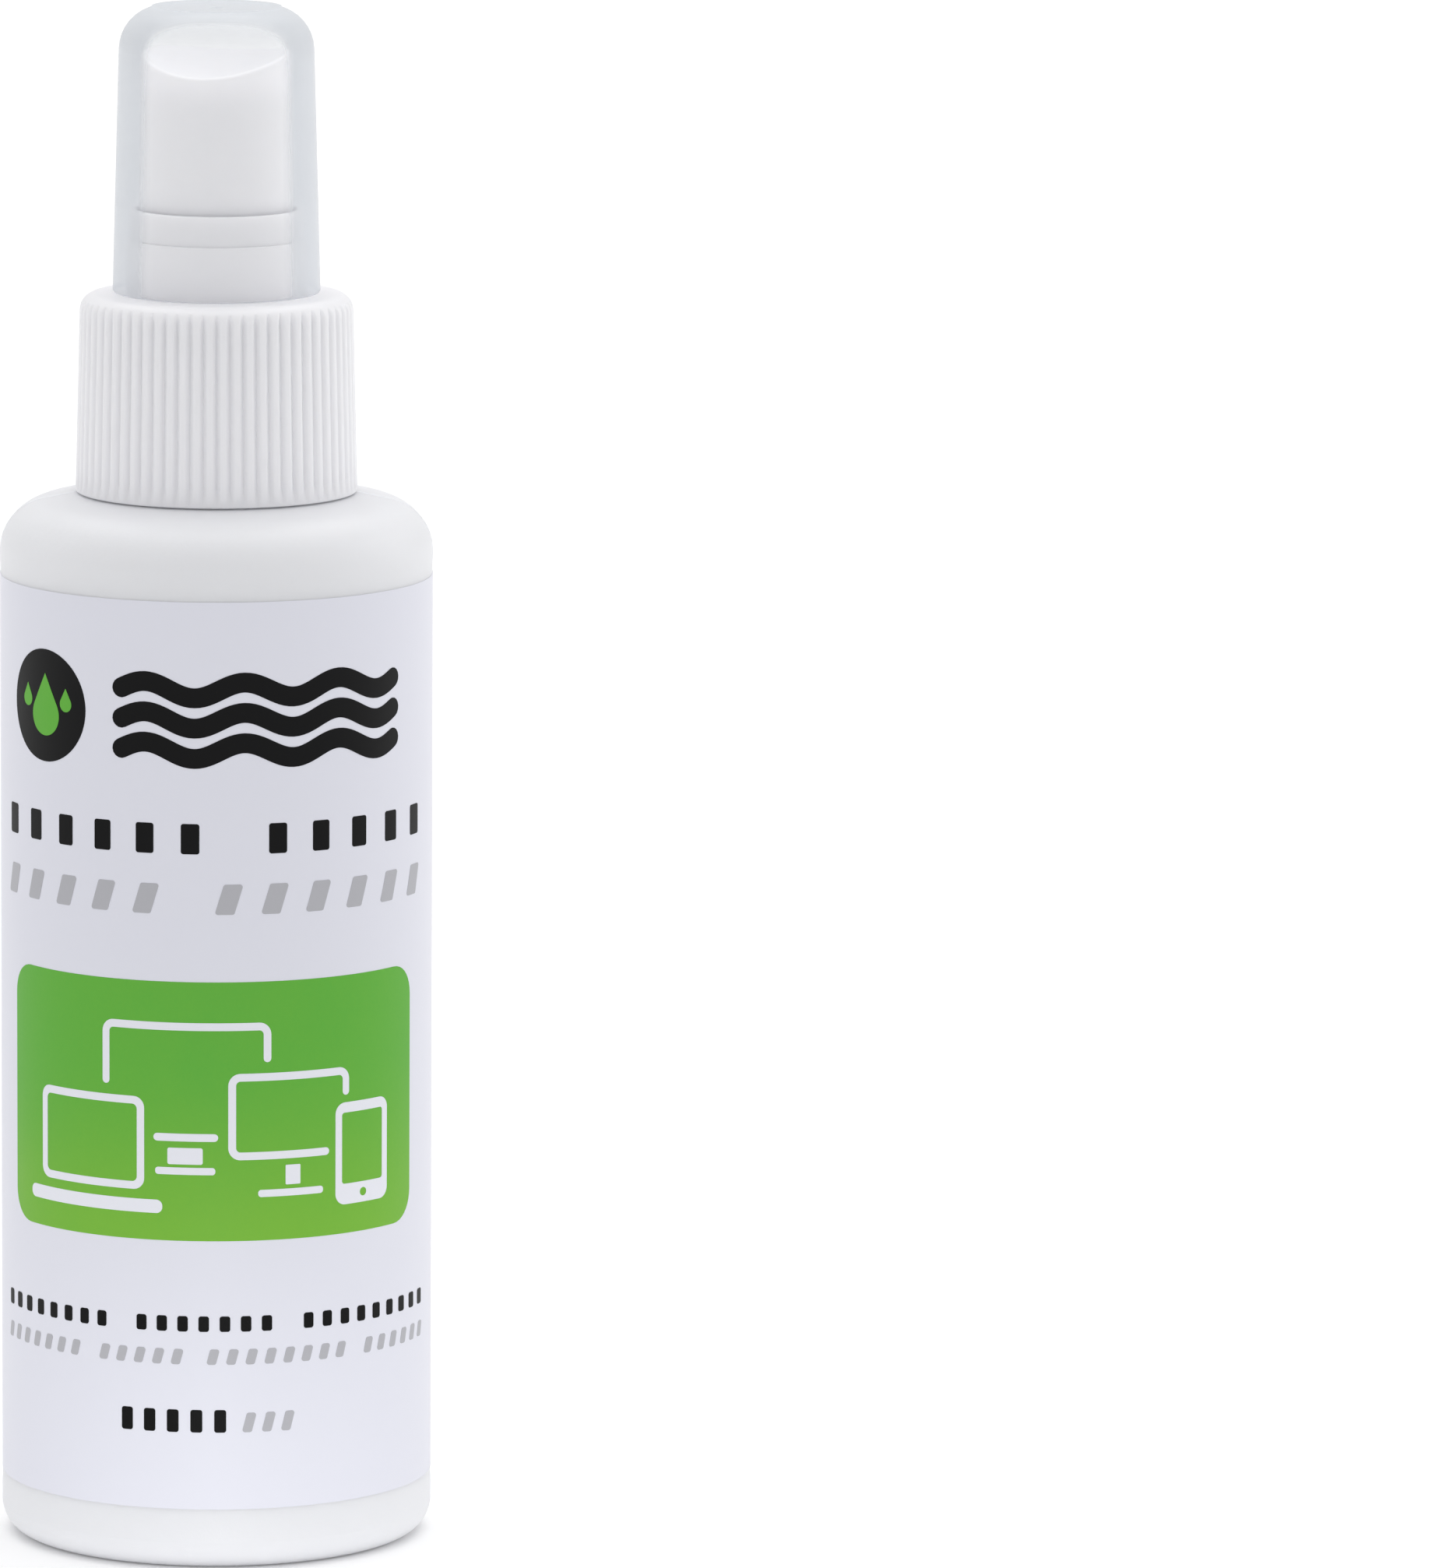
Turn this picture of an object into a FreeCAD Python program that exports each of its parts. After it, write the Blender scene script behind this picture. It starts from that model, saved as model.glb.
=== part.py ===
"""Pocket spray bottle for lens and screen cleaner, in millimetres.

A blow-moulded bottle with a threaded neck and a wrapped label carries a finger pump under a ribbed
screw closure. The pump is a small piston pump: pressing the spray head drives the stem and piston down
the housing, and a spring brings them back. A clear hood pushes over the closure's collar.

The origin is the middle of the bottle's foot, +Z is up, and the label's front faces -Y. Every height
follows from the foot of the neck, so the pump, closure and hood rise with a taller bottle.
"""

import FreeCAD
import Part
import math
import os
import Sketcher

# Driving sizes: name, value, meaning. They become the cells of the spreadsheet.
DIMENSIONS = [
    # bottle
    ("body_radius", 20.7, "outside radius of the straight wall"),
    ("bottle_wall", 0.9, "wall of body and shoulder"),
    ("neck_foot_height", 101.9, "height of the neck's foot, on top of the shoulder"),
    ("shoulder_slope", 12.0, "fall of the shoulder from the neck outwards, degrees"),
    ("shoulder_corner", 5.0, "outside radius between shoulder and wall"),
    ("base_corner", 2.8, "outside radius at the foot"),
    ("base_thickness", 1.2, "thickness of the bottom"),
    ("base_recess", 1.5, "height of the hollow under the bottom"),
    ("base_ring_width", 1.8, "width of the flat ring it stands on"),
    ("base_slope_width", 2.4, "width of the sloping step inside that ring"),
    ("neck_radius", 10.8, "outside radius of the neck between threads"),
    ("neck_wall", 1.9, "wall of the neck"),
    ("neck_height", 15.2, "from the neck's foot to its rim"),
    ("rim_rounding", 0.4, "rounding of the neck's rim"),
    # screw thread
    ("thread_pitch", 3.175, "rise in one turn, 8 turns to the inch"),
    ("thread_turns", 1.5, "turns on the neck"),
    ("thread_depth", 1.15, "how far the neck's thread stands out"),
    ("thread_root_width", 1.7, "width of either thread where it meets its wall"),
    ("thread_crest_width", 0.8, "width of either thread at its crest"),
    ("thread_sink", 0.3, "how far either thread runs into its wall"),
    ("thread_top_gap", 2.9, "from the neck's rim to the middle of the thread's top end"),
    ("thread_clearance", 0.35, "from the neck's thread to the closure's wall"),
    ("closure_thread_turns", 1.25, "turns inside the closure"),
    ("closure_thread_lag", 0.25, "how many turns lower the closure's thread starts"),
    ("closure_thread_depth", 1.0, "how far the closure's thread stands in"),
    # label
    ("label_thickness", 0.1, "film and adhesive"),
    ("label_bottom", 6.1, "height of the label's lower edge"),
    ("label_top_drop", 8.3, "from the neck's foot down to the label's upper edge"),
    ("label_seam_angle", 3.0, "gap between the label's ends, degrees"),
    # closure
    ("skirt_wall", 1.2, "wall of the closure's skirt at its open end"),
    ("skirt_drop", 0.2, "how far the skirt's open end hangs below the neck's foot"),
    ("closure_draft", 1.36, "taper of the skirt, degrees"),
    ("closure_corner", 1.6, "rounding between skirt and top"),
    ("plate_thickness", 1.35, "thickness of the closure's top plate"),
    ("turning_gap", 0.03, "between the turning closure and the pump, on each side"),
    ("sleeve_gap", 0.2, "between the closure's hole and the pump's sleeve"),
    ("band_height", 1.15, "plain band below the ribs"),
    ("rib_count", 64, "grooves round the skirt"),
    ("groove_radius", 0.36, "radius of one groove"),
    ("groove_depth", 0.36, "depth of one groove"),
    ("collar_gap", 0.25, "between collar and spray head"),
    ("collar_wall", 0.65, "wall of the collar above its step"),
    ("collar_step", 0.25, "how much wider the collar is below its step"),
    ("collar_height", 8.2, "height of the collar above the top plate"),
    ("collar_step_height", 5.3, "height of the step above the top plate"),
    ("collar_rounding", 0.2, "rounding of the collar's edges"),
    # neck gasket
    ("gasket_thickness", 0.8, "thickness of the neck gasket"),
    ("seat_gap", 0.03, "between the neck's rim and the gasket"),
    ("flange_overhang", 0.4, "how far gasket and flange pass the neck's wall"),
    # pump housing
    ("flange_thickness", 1.2, "thickness of the housing's flange"),
    ("sleeve_wall", 0.8, "wall of the sleeve"),
    ("chamber_radius", 3.1, "bore that the piston runs in"),
    ("chamber_wall", 1.0, "wall of the chamber"),
    ("stroke", 5.0, "travel of the spray head"),
    ("ball_radius", 1.5, "inlet ball"),
    ("ball_side_gap", 0.25, "between ball and cage"),
    ("ball_seat_gap", 0.05, "between ball and seat at rest"),
    ("cage_depth", 3.0, "depth of the ball's cage below the chamber's floor"),
    ("cage_lip", 0.4, "how far the cage's lip stands in to hold the ball"),
    ("cage_lip_height", 0.45, "height of that lip"),
    ("inlet_bore", 0.9, "radius of the hole under the ball"),
    ("inlet_web", 0.6, "thickness between ball seat and tube socket"),
    ("socket_length", 7.5, "how far the dip tube plugs in"),
    ("socket_wall", 0.95, "wall round the dip tube"),
    ("vent_radius", 0.35, "vent hole through sleeve and turret"),
    # dip tube
    ("tube_radius", 1.95, "outside radius of the dip tube"),
    ("tube_wall", 0.6, "wall of the dip tube"),
    ("tube_clearance", 1.8, "from the bottle's floor to the tube's tip"),
    ("tube_cut_angle", 35.0, "slope of the tube's cut end, degrees"),
    # turret
    ("turret_flange_lap", 0.7, "how far the turret's flange laps over the closure's hole"),
    ("turret_flange_thickness", 0.8, "thickness of that flange"),
    ("turret_boss_height", 2.6, "height of the stem guide above the sleeve"),
    ("turret_boss_wall", 1.4, "wall of the stem guide"),
    ("plug_depth", 8.1, "how far the turret plugs into the sleeve"),
    ("plug_wall", 0.8, "wall of the turret's plug"),
    ("plug_step", 0.3, "how much wider the plug's bore is than the chamber"),
    ("guide_gap", 0.08, "between stem and guide"),
    ("ceiling_depth", 1.7, "from the sleeve's top to the ceiling inside the turret"),
    # stem, stem gasket, valve rod, piston
    ("stem_radius", 1.9, "radius of the stem"),
    ("stem_step", 0.45, "how much thinner the stem is inside the piston"),
    ("stem_wall", 0.6, "wall of the stem inside the piston"),
    ("stem_flange_gap", 0.9, "between the stem's flange and the turret"),
    ("stem_flange_thickness", 0.65, "thickness of the stem's flange"),
    ("stem_gasket_thickness", 0.6, "thickness of the stem gasket"),
    ("port_radius", 0.4, "cross hole in the stem"),
    ("port_height", 2.1, "from the stem's lower end to the cross hole"),
    ("rod_spigot_length", 1.5, "how far the valve rod plugs into the stem"),
    ("rod_cone_height", 0.9, "height of the valve cone"),
    ("rod_cone_step", 0.3, "step from the foot of the valve cone to the rod's flange"),
    ("rod_flange_gap", 0.5, "between the valve rod's flange and the chamber"),
    ("rod_flange_thickness", 1.2, "thickness of the valve rod's flange"),
    ("rod_guide_gap", 0.5, "between the rod and the return spring round it"),
    ("rod_guide_length", 4.0, "length of the rod inside the return spring"),
    ("piston_gap", 0.05, "between piston and chamber, stem and valve cone"),
    ("piston_length", 4.0, "length of the piston"),
    ("piston_top_gap", 0.15, "from the turret's plug down to the piston"),
    ("piston_waist", 0.5, "how much narrower the piston is between its lips"),
    ("piston_lip_height", 0.9, "height of each lip of the piston"),
    ("piston_gallery", 0.35, "how much wider the piston's bore is round the stem's cross hole"),
    ("piston_seal_height", 0.6, "height of the piston's inner seal, above that wide part"),
    ("stem_engagement", 0.6, "from the piston's lower end up to the stem's"),
    # springs
    ("return_wire", 0.5, "wire of the return spring"),
    ("return_side_gap", 0.5, "between the return spring and the chamber"),
    ("return_length", 14.7, "length of the return spring at rest"),
    ("return_active_turns", 6, "turns of the return spring between its closed ends"),
    ("pressure_wire", 0.3, "wire of the pressure spring"),
    ("pressure_side_gap", 0.4, "between the stem and the pressure spring round it"),
    ("pressure_active_turns", 4, "turns of the pressure spring between its closed ends"),
    ("closed_turn_pitch", 1.06, "pitch of a closed end turn, in wires"),
    ("spring_end_gap", 0.02, "between a spring and its seat"),
    # spray head
    ("head_skirt_radius", 7.45, "radius of the spray head at its open end"),
    ("head_draft", 0.65, "taper of the spray head, degrees"),
    ("head_height", 17.7, "height of the spray head"),
    ("head_wall", 1.0, "wall of the spray head"),
    ("head_floor_gap", 0.65, "left under the spray head at the end of its stroke"),
    ("head_turn", -12.0, "how far the spray head is turned at rest, degrees"),
    ("head_lip_rounding", 0.25, "rounding of the spray head's lower edge"),
    ("crown_rounding", 0.45, "rounding round the finger rest"),
    ("crown_thickness", 4.4, "from the top down to the upper hollow"),
    ("hollow_depth", 10.6, "from the top down to the nozzle block"),
    ("hollow_angle", 236.0, "how far the upper hollow runs round, degrees"),
    ("head_boss_wall", 1.25, "wall of the socket boss"),
    ("boss_gap", 0.3, "left between boss and turret at the end of the stroke"),
    ("stem_socket_depth", 4.2, "how far the stem enters the spray head"),
    ("stem_socket_gap", 0.05, "between stem and socket"),
    ("scoop_radius", 20.0, "radius of the hollow finger rest"),
    ("scoop_tilt", 6.0, "forward tilt of the finger rest, degrees"),
    ("scoop_depth", 1.3, "depth of the finger rest at the head's axis"),
    # nozzle
    ("nozzle_drop", 7.0, "from the spray head's top to the nozzle's axis"),
    ("insert_radius", 2.3, "radius of the nozzle insert"),
    ("insert_length", 2.9, "length of the nozzle insert"),
    ("insert_recess", 0.45, "how far the insert's face lies behind the head's wall"),
    ("insert_face", 0.7, "thickness of the insert's face"),
    ("insert_wall", 0.9, "wall of the nozzle insert round the post"),
    ("post_gap", 0.05, "between post and insert"),
    ("swirl_radius", 0.6, "swirl chamber"),
    ("swirl_depth", 0.25, "depth of the swirl chamber"),
    ("swirl_slots", 3, "slots that feed the swirl chamber"),
    ("orifice_radius", 0.2, "spray hole"),
    ("mouth_radius", 0.75, "outer end of the spray hole's cone"),
    ("mouth_depth", 0.35, "depth of that cone"),
    ("insert_pocket_relief", 0.4, "space behind the insert"),
    ("feed_radius", 0.6, "rising channel in the spray head"),
    ("cross_radius", 0.4, "channel from there to the insert"),
    # hood
    ("hood_clearance", 0.15, "between hood and collar at the foot"),
    ("hood_wall", 1.2, "wall of the hood"),
    ("hood_draft", 1.5, "taper of the hood, degrees"),
    ("hood_headroom", 3.05, "from the spray head to the inside of the hood"),
    ("hood_corner", 4.2, "outside rounding of the hood's top"),
    ("hood_foot_gap", 0.12, "from the closure's top to the hood"),
    ("hood_foot_rounding", 0.3, "rounding of the hood's foot"),
    ("hood_disc_radius", 5.9, "radius of the shallow dish in the hood's top"),
    ("hood_disc_depth", 0.15, "depth of that dish"),
    ("gate_radius", 0.7, "gate mark in the middle of the dish"),
    ("gate_depth", 0.25, "depth of the gate mark"),
]

SHEET = "Sizes"
FULL_TURN = 360
ROOT_TWO = 1.4142136  # a ball on a cone of 45 degrees sits this many radii above the cone's point
TOUCH = 1e-4  # how near two places must be to count as one


class Size:
    """A length or angle that carries its value and the expression that binds it to the sheet."""

    def __init__(self, text, value):
        self.text = text
        self.value = value

    def _joined(self, other, sign, value):
        return Size(f"({self.text} {sign} {as_size(other).text})", value)

    def __add__(self, other):
        return self._joined(other, "+", self.value + as_size(other).value)

    def __sub__(self, other):
        return self._joined(other, "-", self.value - as_size(other).value)

    def __mul__(self, other):
        return self._joined(other, "*", self.value * as_size(other).value)

    def __truediv__(self, other):
        return self._joined(other, "/", self.value / as_size(other).value)

    def __neg__(self):
        return Size(f"(0 - {self.text})", -self.value)


def as_size(number):
    """A Size as it is, or a plain number as one."""
    return number if isinstance(number, Size) else Size(repr(number), number)


def tangent(angle):
    return Size(f"tan({angle.text} * 1deg)", math.tan(math.radians(angle.value)))


def sine(angle):
    return Size(f"sin({angle.text} * 1deg)", math.sin(math.radians(angle.value)))


def cosine(angle):
    return Size(f"cos({angle.text} * 1deg)", math.cos(math.radians(angle.value)))


NAMED = {name: Size(f"{SHEET}.{name}", value) for name, value, _ in DIMENSIONS}
ZERO = as_size(0)


def size(name):
    return NAMED[name]


# ---------------------------------------------------------------- heights and radii that several pieces share

NECK_RIM = size("neck_foot_height") + size("neck_height")
GASKET_BOTTOM = NECK_RIM + size("seat_gap")
FLANGE_BOTTOM = GASKET_BOTTOM + size("gasket_thickness")
DECK = FLANGE_BOTTOM + size("flange_thickness")
PLATE_BOTTOM = DECK + size("turning_gap")
CLOSURE_TOP = PLATE_BOTTOM + size("plate_thickness")
CLOSURE_BOTTOM = size("neck_foot_height") - size("skirt_drop")
SLEEVE_TOP = CLOSURE_TOP + size("turning_gap")

NECK_BORE = size("neck_radius") - size("neck_wall")
FLANGE_RADIUS = size("neck_radius") + size("flange_overhang")
SKIRT_BORE = size("neck_radius") + size("thread_depth") + size("thread_clearance")
SKIRT_RADIUS = SKIRT_BORE + size("skirt_wall")
NECK_THREAD_START = NECK_RIM - size("thread_top_gap") - size("thread_pitch") * size("thread_turns")

PLUG_BORE = size("chamber_radius") + size("plug_step")
SLEEVE_BORE = PLUG_BORE + size("plug_wall")
SLEEVE_RADIUS = SLEEVE_BORE + size("sleeve_wall")
CLOSURE_HOLE = SLEEVE_RADIUS + size("sleeve_gap")
PLUG_BOTTOM = SLEEVE_TOP - size("plug_depth")
TURRET_CEILING = SLEEVE_TOP - size("ceiling_depth")
TURRET_BOSS_TOP = SLEEVE_TOP + size("turret_boss_height")
GUIDE_BORE = size("stem_radius") + size("guide_gap")
TURRET_BOSS_RADIUS = GUIDE_BORE + size("turret_boss_wall")

STEM_FLANGE_TOP = TURRET_CEILING - size("stem_gasket_thickness") - size("turning_gap")
STEM_FLANGE_BOTTOM = STEM_FLANGE_TOP - size("stem_flange_thickness")
PISTON_TOP = PLUG_BOTTOM - size("piston_top_gap")
PISTON_BOTTOM = PISTON_TOP - size("piston_length")
STEM_END = PISTON_BOTTOM + size("stem_engagement")
STEM_FOOT_RADIUS = size("stem_radius") - size("stem_step")
STEM_BORE = STEM_FOOT_RADIUS - size("stem_wall")
ROD_FLANGE_RADIUS = size("chamber_radius") - size("rod_flange_gap")
ROD_CONE_RADIUS = ROD_FLANGE_RADIUS - size("rod_cone_step")
ROD_CONE_BOTTOM = STEM_END - size("rod_cone_height")
ROD_FLANGE_BOTTOM = ROD_CONE_BOTTOM - size("rod_flange_thickness")
CHAMBER_FLOOR = ROD_FLANGE_BOTTOM - size("return_length")
RETURN_MEAN_RADIUS = size("chamber_radius") - size("return_side_gap") - size("return_wire") / 2
PRESSURE_MEAN_RADIUS = STEM_FOOT_RADIUS + size("pressure_side_gap") + size("pressure_wire") / 2

CAGE_RADIUS = size("ball_radius") + size("ball_side_gap")
SEAT_BOTTOM = CHAMBER_FLOOR - size("cage_depth") - CAGE_RADIUS + size("inlet_bore")
BALL_HEIGHT = SEAT_BOTTOM - size("inlet_bore") + size("ball_radius") * ROOT_TWO + size("ball_seat_gap")
SOCKET_TOP = SEAT_BOTTOM - size("inlet_web")
SOCKET_BOTTOM = SOCKET_TOP - size("socket_length")
SOCKET_RADIUS = size("tube_radius") + size("socket_wall")
CHAMBER_OUTSIDE = size("chamber_radius") + size("chamber_wall")

COLLAR_BORE = size("head_skirt_radius") + size("collar_gap")
COLLAR_RADIUS = COLLAR_BORE + size("collar_wall")
COLLAR_FOOT_RADIUS = COLLAR_RADIUS + size("collar_step")
COLLAR_TOP = CLOSURE_TOP + size("collar_height")

HEAD_BOTTOM = CLOSURE_TOP + size("stroke") + size("head_floor_gap")
HEAD_TOP = HEAD_BOTTOM + size("head_height")
HEAD_TOP_RADIUS = size("head_skirt_radius") - size("head_height") * tangent(size("head_draft"))
BOSS_BOTTOM = TURRET_BOSS_TOP + size("stroke") + size("boss_gap")
STEM_TOP = BOSS_BOTTOM + size("stem_socket_depth")
NOZZLE_HEIGHT = HEAD_TOP - size("nozzle_drop")
INSERT_FRONT = HEAD_TOP_RADIUS - size("insert_recess")
INSERT_BACK = INSERT_FRONT - size("insert_length")
POST_BORE = size("insert_radius") - size("insert_wall")
POST_RADIUS = POST_BORE - size("post_gap")

HOOD_BOTTOM = CLOSURE_TOP + size("hood_foot_gap")
HOOD_CEILING = HEAD_TOP + size("hood_headroom")
HOOD_TOP = HOOD_CEILING + size("hood_wall")
HOOD_BORE = COLLAR_FOOT_RADIUS + size("hood_clearance")


# ---------------------------------------------------------------- tools for making bodies


def make_sheet(doc):
    """The spreadsheet of driving sizes: a name, a value and what it means in each row."""
    sheet = doc.addObject("Spreadsheet::Sheet", SHEET)
    for row, (name, value, meaning) in enumerate(DIMENSIONS, start=1):
        sheet.set(f"A{row}", name)
        sheet.set(f"B{row}", str(value))
        sheet.setAlias(f"B{row}", name)
        sheet.set(f"C{row}", meaning)
    doc.recompute()
    return sheet


def make_body(doc, label):
    body = doc.addObject("PartDesign::Body", label)
    body.Label = label
    return body


def settle(feature):
    """Recomputes, and stops the build at the first feature that fails."""
    feature.Document.recompute()
    if feature.Shape.isNull() or not feature.Shape.isValid():
        raise RuntimeError(f"{feature.Name} failed")
    return feature


def bind(thing, field, amount):
    """Ties a property of an object to the sheet."""
    thing.setExpression(field, as_size(amount).text)


def new_sketch(body, name, plane="XZ_Plane", offset=None):
    """A sketch on one of the body's own planes, moved off it along its normal by offset."""
    sketch = body.newObject("Sketcher::SketchObject", name)
    support = [f for f in body.Origin.OriginFeatures if f.Role == plane][0]
    sketch.AttachmentSupport = [(support, "")]
    sketch.MapMode = "FlatFace"
    if offset is not None:
        bind(sketch, "AttachmentOffset.Base.z", offset)
    return sketch


def pin_point(sketch, element, which, across, up):
    """Holds one point of a sketch at its distances from the sketch's origin."""
    for kind, axis, amount in (("DistanceX", -2, across), ("DistanceY", -1, up)):
        amount = as_size(amount)
        if abs(amount.value) < TOUCH:
            sketch.addConstraint(Sketcher.Constraint("PointOnObject", element, which, axis))
        else:
            made = sketch.addConstraint(
                Sketcher.Constraint(kind, -1, 1, element, which, amount.value)
            )
            bind(sketch, f"Constraints[{made}]", amount)


def outline(body, name, corners, plane="XZ_Plane", offset=None):
    """A sketch with one closed outline of straight lines through the corners."""
    sketch = new_sketch(body, name, plane, offset)
    points = [FreeCAD.Vector(as_size(x).value, as_size(z).value, 0) for x, z in corners]
    count = len(corners)
    for i in range(count):
        sketch.addGeometry(Part.LineSegment(points[i], points[(i + 1) % count]))
    for i in range(count):
        sketch.addConstraint(Sketcher.Constraint("Coincident", i, 2, (i + 1) % count, 1))
    for i, (across, up) in enumerate(corners):
        pin_point(sketch, i, 1, across, up)
    return sketch


def circles(body, name, rounds, plane="XZ_Plane", offset=None):
    """A sketch of circles, each (across, up, radius)."""
    sketch = new_sketch(body, name, plane, offset)
    for across, up, radius in rounds:
        centre = FreeCAD.Vector(as_size(across).value, as_size(up).value, 0)
        normal = FreeCAD.Vector(0, 0, 1)
        number = sketch.addGeometry(Part.Circle(centre, normal, as_size(radius).value))
        pin_point(sketch, number, 3, across, up)
        made = sketch.addConstraint(Sketcher.Constraint("Radius", number, as_size(radius).value))
        bind(sketch, f"Constraints[{made}]", radius)
    return sketch


def turned(body, kind, name, corners, plane="XZ_Plane", angle=FULL_TURN, midplane=False):
    """A Revolution or Groove of an outline about the body's Z axis."""
    sketch = outline(body, name + "_outline", corners, plane)
    feature = body.newObject("PartDesign::" + kind, name)
    feature.Profile = sketch
    feature.ReferenceAxis = (sketch, ["V_Axis"])
    feature.Midplane = midplane
    bind(feature, "Angle", angle)
    sketch.Visibility = False
    return settle(feature)


def revolved(body, name, corners, **options):
    return turned(body, "Revolution", name, corners, **options)


def grooved(body, name, corners, **options):
    return must_cut(turned(body, "Groove", name, corners, **options))


def must_cut(feature):
    """A cut that takes nothing away points the wrong way, so it stops the build."""
    settle(feature)
    if feature.Shape.Volume >= feature.BaseFeature.Shape.Volume - TOUCH:
        raise RuntimeError(f"{feature.Name} cuts nothing")
    return feature


def pocket(body, name, sketch, length=None, reverse=False, both_ways=False):
    """A pocket of a sketch: to a length, or right through when no length is given."""
    feature = body.newObject("PartDesign::Pocket", name)
    feature.Profile = sketch
    if length is None:
        feature.Type = "ThroughAll"
    else:
        bind(feature, "Length", length)
    feature.Midplane = both_ways
    feature.Reversed = reverse
    sketch.Visibility = False
    return must_cut(feature)


def ring_edges(shape, radius, height):
    """Names of the circular edges round the Z axis with this radius, at this height."""
    found = []
    for number, edge in enumerate(shape.Edges, start=1):
        curve = edge.Curve
        if not isinstance(curve, Part.Circle):
            continue
        centred = math.hypot(curve.Center.x, curve.Center.y) < TOUCH
        same_radius = abs(curve.Radius - radius.value) < TOUCH * 10
        if centred and same_radius and abs(curve.Center.z - height.value) < TOUCH * 10:
            found.append(f"Edge{number}")
    return found


def fillet(body, name, edges, radius):
    """Fillets named edges of the body's latest feature."""
    latest = body.Tip
    feature = body.newObject("PartDesign::Fillet", name)
    feature.Base = (latest, edges)
    bind(feature, "Radius", radius)
    return settle(feature)


def rounded(body, name, radius, rings):
    """Fillets rings, each (radius, height), on the body's latest feature."""
    edges = [e for ring in rings for e in ring_edges(body.Tip.Shape, *ring)]
    if len(edges) < len(rings):
        raise RuntimeError(f"{body.Label}: {name} found {len(edges)} edges for {len(rings)} rings")
    return fillet(body, name, edges, radius)


def helical(body, name, sketch, pitch, turns):
    """Adds a right-hand helix of a sketch about the body's Z axis."""
    feature = body.newObject("PartDesign::AdditiveHelix", name)
    feature.Profile = sketch
    feature.ReferenceAxis = (sketch, ["V_Axis"])
    feature.Mode = "pitch-turns-angle"
    feature.Angle = 0
    bind(feature, "Pitch", pitch)
    bind(feature, "Turns", turns)
    sketch.Visibility = False
    return settle(feature)


def polar(body, name, source, count):
    """Repeats a feature evenly round the body's Z axis."""
    feature = body.newObject("PartDesign::PolarPattern", name)
    feature.Originals = [source]
    axis = [f for f in body.Origin.OriginFeatures if f.Role == "Z_Axis"][0]
    feature.Axis = (axis, [""])
    feature.Angle = FULL_TURN
    bind(feature, "Occurrences", count)
    body.Tip = feature
    return settle(feature)


def thread_section(body, name, wall, crest, middle):
    """A thread's four-sided section, sunk into its wall and centred on a height."""
    half_root = size("thread_root_width") / 2
    half_crest = size("thread_crest_width") / 2
    corners = [
        (wall, middle - half_root),
        (crest, middle - half_crest),
        (crest, middle + half_crest),
        (wall, middle + half_root),
    ]
    return outline(body, name, corners)


# ---------------------------------------------------------------- the bottle and its label


def make_bottle(doc):
    """Blow-moulded bottle: hollow foot, straight wall, sloping shoulder and threaded neck."""
    body = make_body(doc, "bottle")
    wall = size("bottle_wall")
    radius = size("body_radius")
    neck = size("neck_radius")
    neck_foot = size("neck_foot_height")
    shoulder_edge = neck_foot - (radius - neck) * tangent(size("shoulder_slope"))
    ring_inside = radius - size("base_corner") - size("base_ring_width")
    hollow_edge = ring_inside - size("base_slope_width")
    recess = size("base_recess")
    outside = [
        (ZERO, recess),
        (hollow_edge, recess),
        (ring_inside, ZERO),
        (radius, ZERO),
        (radius, shoulder_edge),
        (neck, neck_foot),
        (neck, NECK_RIM),
        (ZERO, NECK_RIM),
    ]
    revolved(body, "bottle_outside", outside)

    inner = radius - wall
    floor = recess + size("base_thickness")
    inner_shoulder_edge = neck_foot - wall - (inner - NECK_BORE) * tangent(size("shoulder_slope"))
    inside = [
        (ZERO, floor),
        (hollow_edge, floor),
        (ring_inside + wall, size("base_thickness")),
        (inner, size("base_thickness")),
        (inner, inner_shoulder_edge),
        (NECK_BORE, neck_foot - wall),
        (NECK_BORE, NECK_RIM),
        (ZERO, NECK_RIM),
    ]
    grooved(body, "bottle_inside", inside)
    inner_round = size("shoulder_corner") - wall
    rounded(body, "inner_shoulder_round", inner_round, [(inner, inner_shoulder_edge)])
    inner_foot = size("base_corner") - wall
    rounded(body, "inner_foot_corner", inner_foot, [(inner, size("base_thickness"))])
    rounded(body, "shoulder_round", size("shoulder_corner"), [(radius, shoulder_edge)])
    rounded(body, "foot_corner", size("base_corner"), [(radius, ZERO)])
    rounded(body, "rim_round", size("rim_rounding"), [(neck, NECK_RIM), (NECK_BORE, NECK_RIM)])

    crest = neck + size("thread_depth")
    section = thread_section(
        body, "neck_thread_section", neck - size("thread_sink"), crest, NECK_THREAD_START
    )
    helical(body, "neck_thread", section, size("thread_pitch"), size("thread_turns"))
    return body


def make_label(doc):
    """Printed film wrapped round the bottle's wall, its ends meeting at the back."""
    body = make_body(doc, "label")
    inner = size("body_radius")
    outer = inner + size("label_thickness")
    top = size("neck_foot_height") - size("label_top_drop")
    corners = [
        (inner, size("label_bottom")),
        (outer, size("label_bottom")),
        (outer, top),
        (inner, top),
    ]
    wrap = as_size(FULL_TURN) - size("label_seam_angle")
    revolved(body, "label_wrap", corners, angle=wrap, midplane=True)
    body.Placement.Rotation = FreeCAD.Rotation(FreeCAD.Vector(0, 0, 1), -90)
    return body


# ---------------------------------------------------------------- closure and hood


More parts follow.
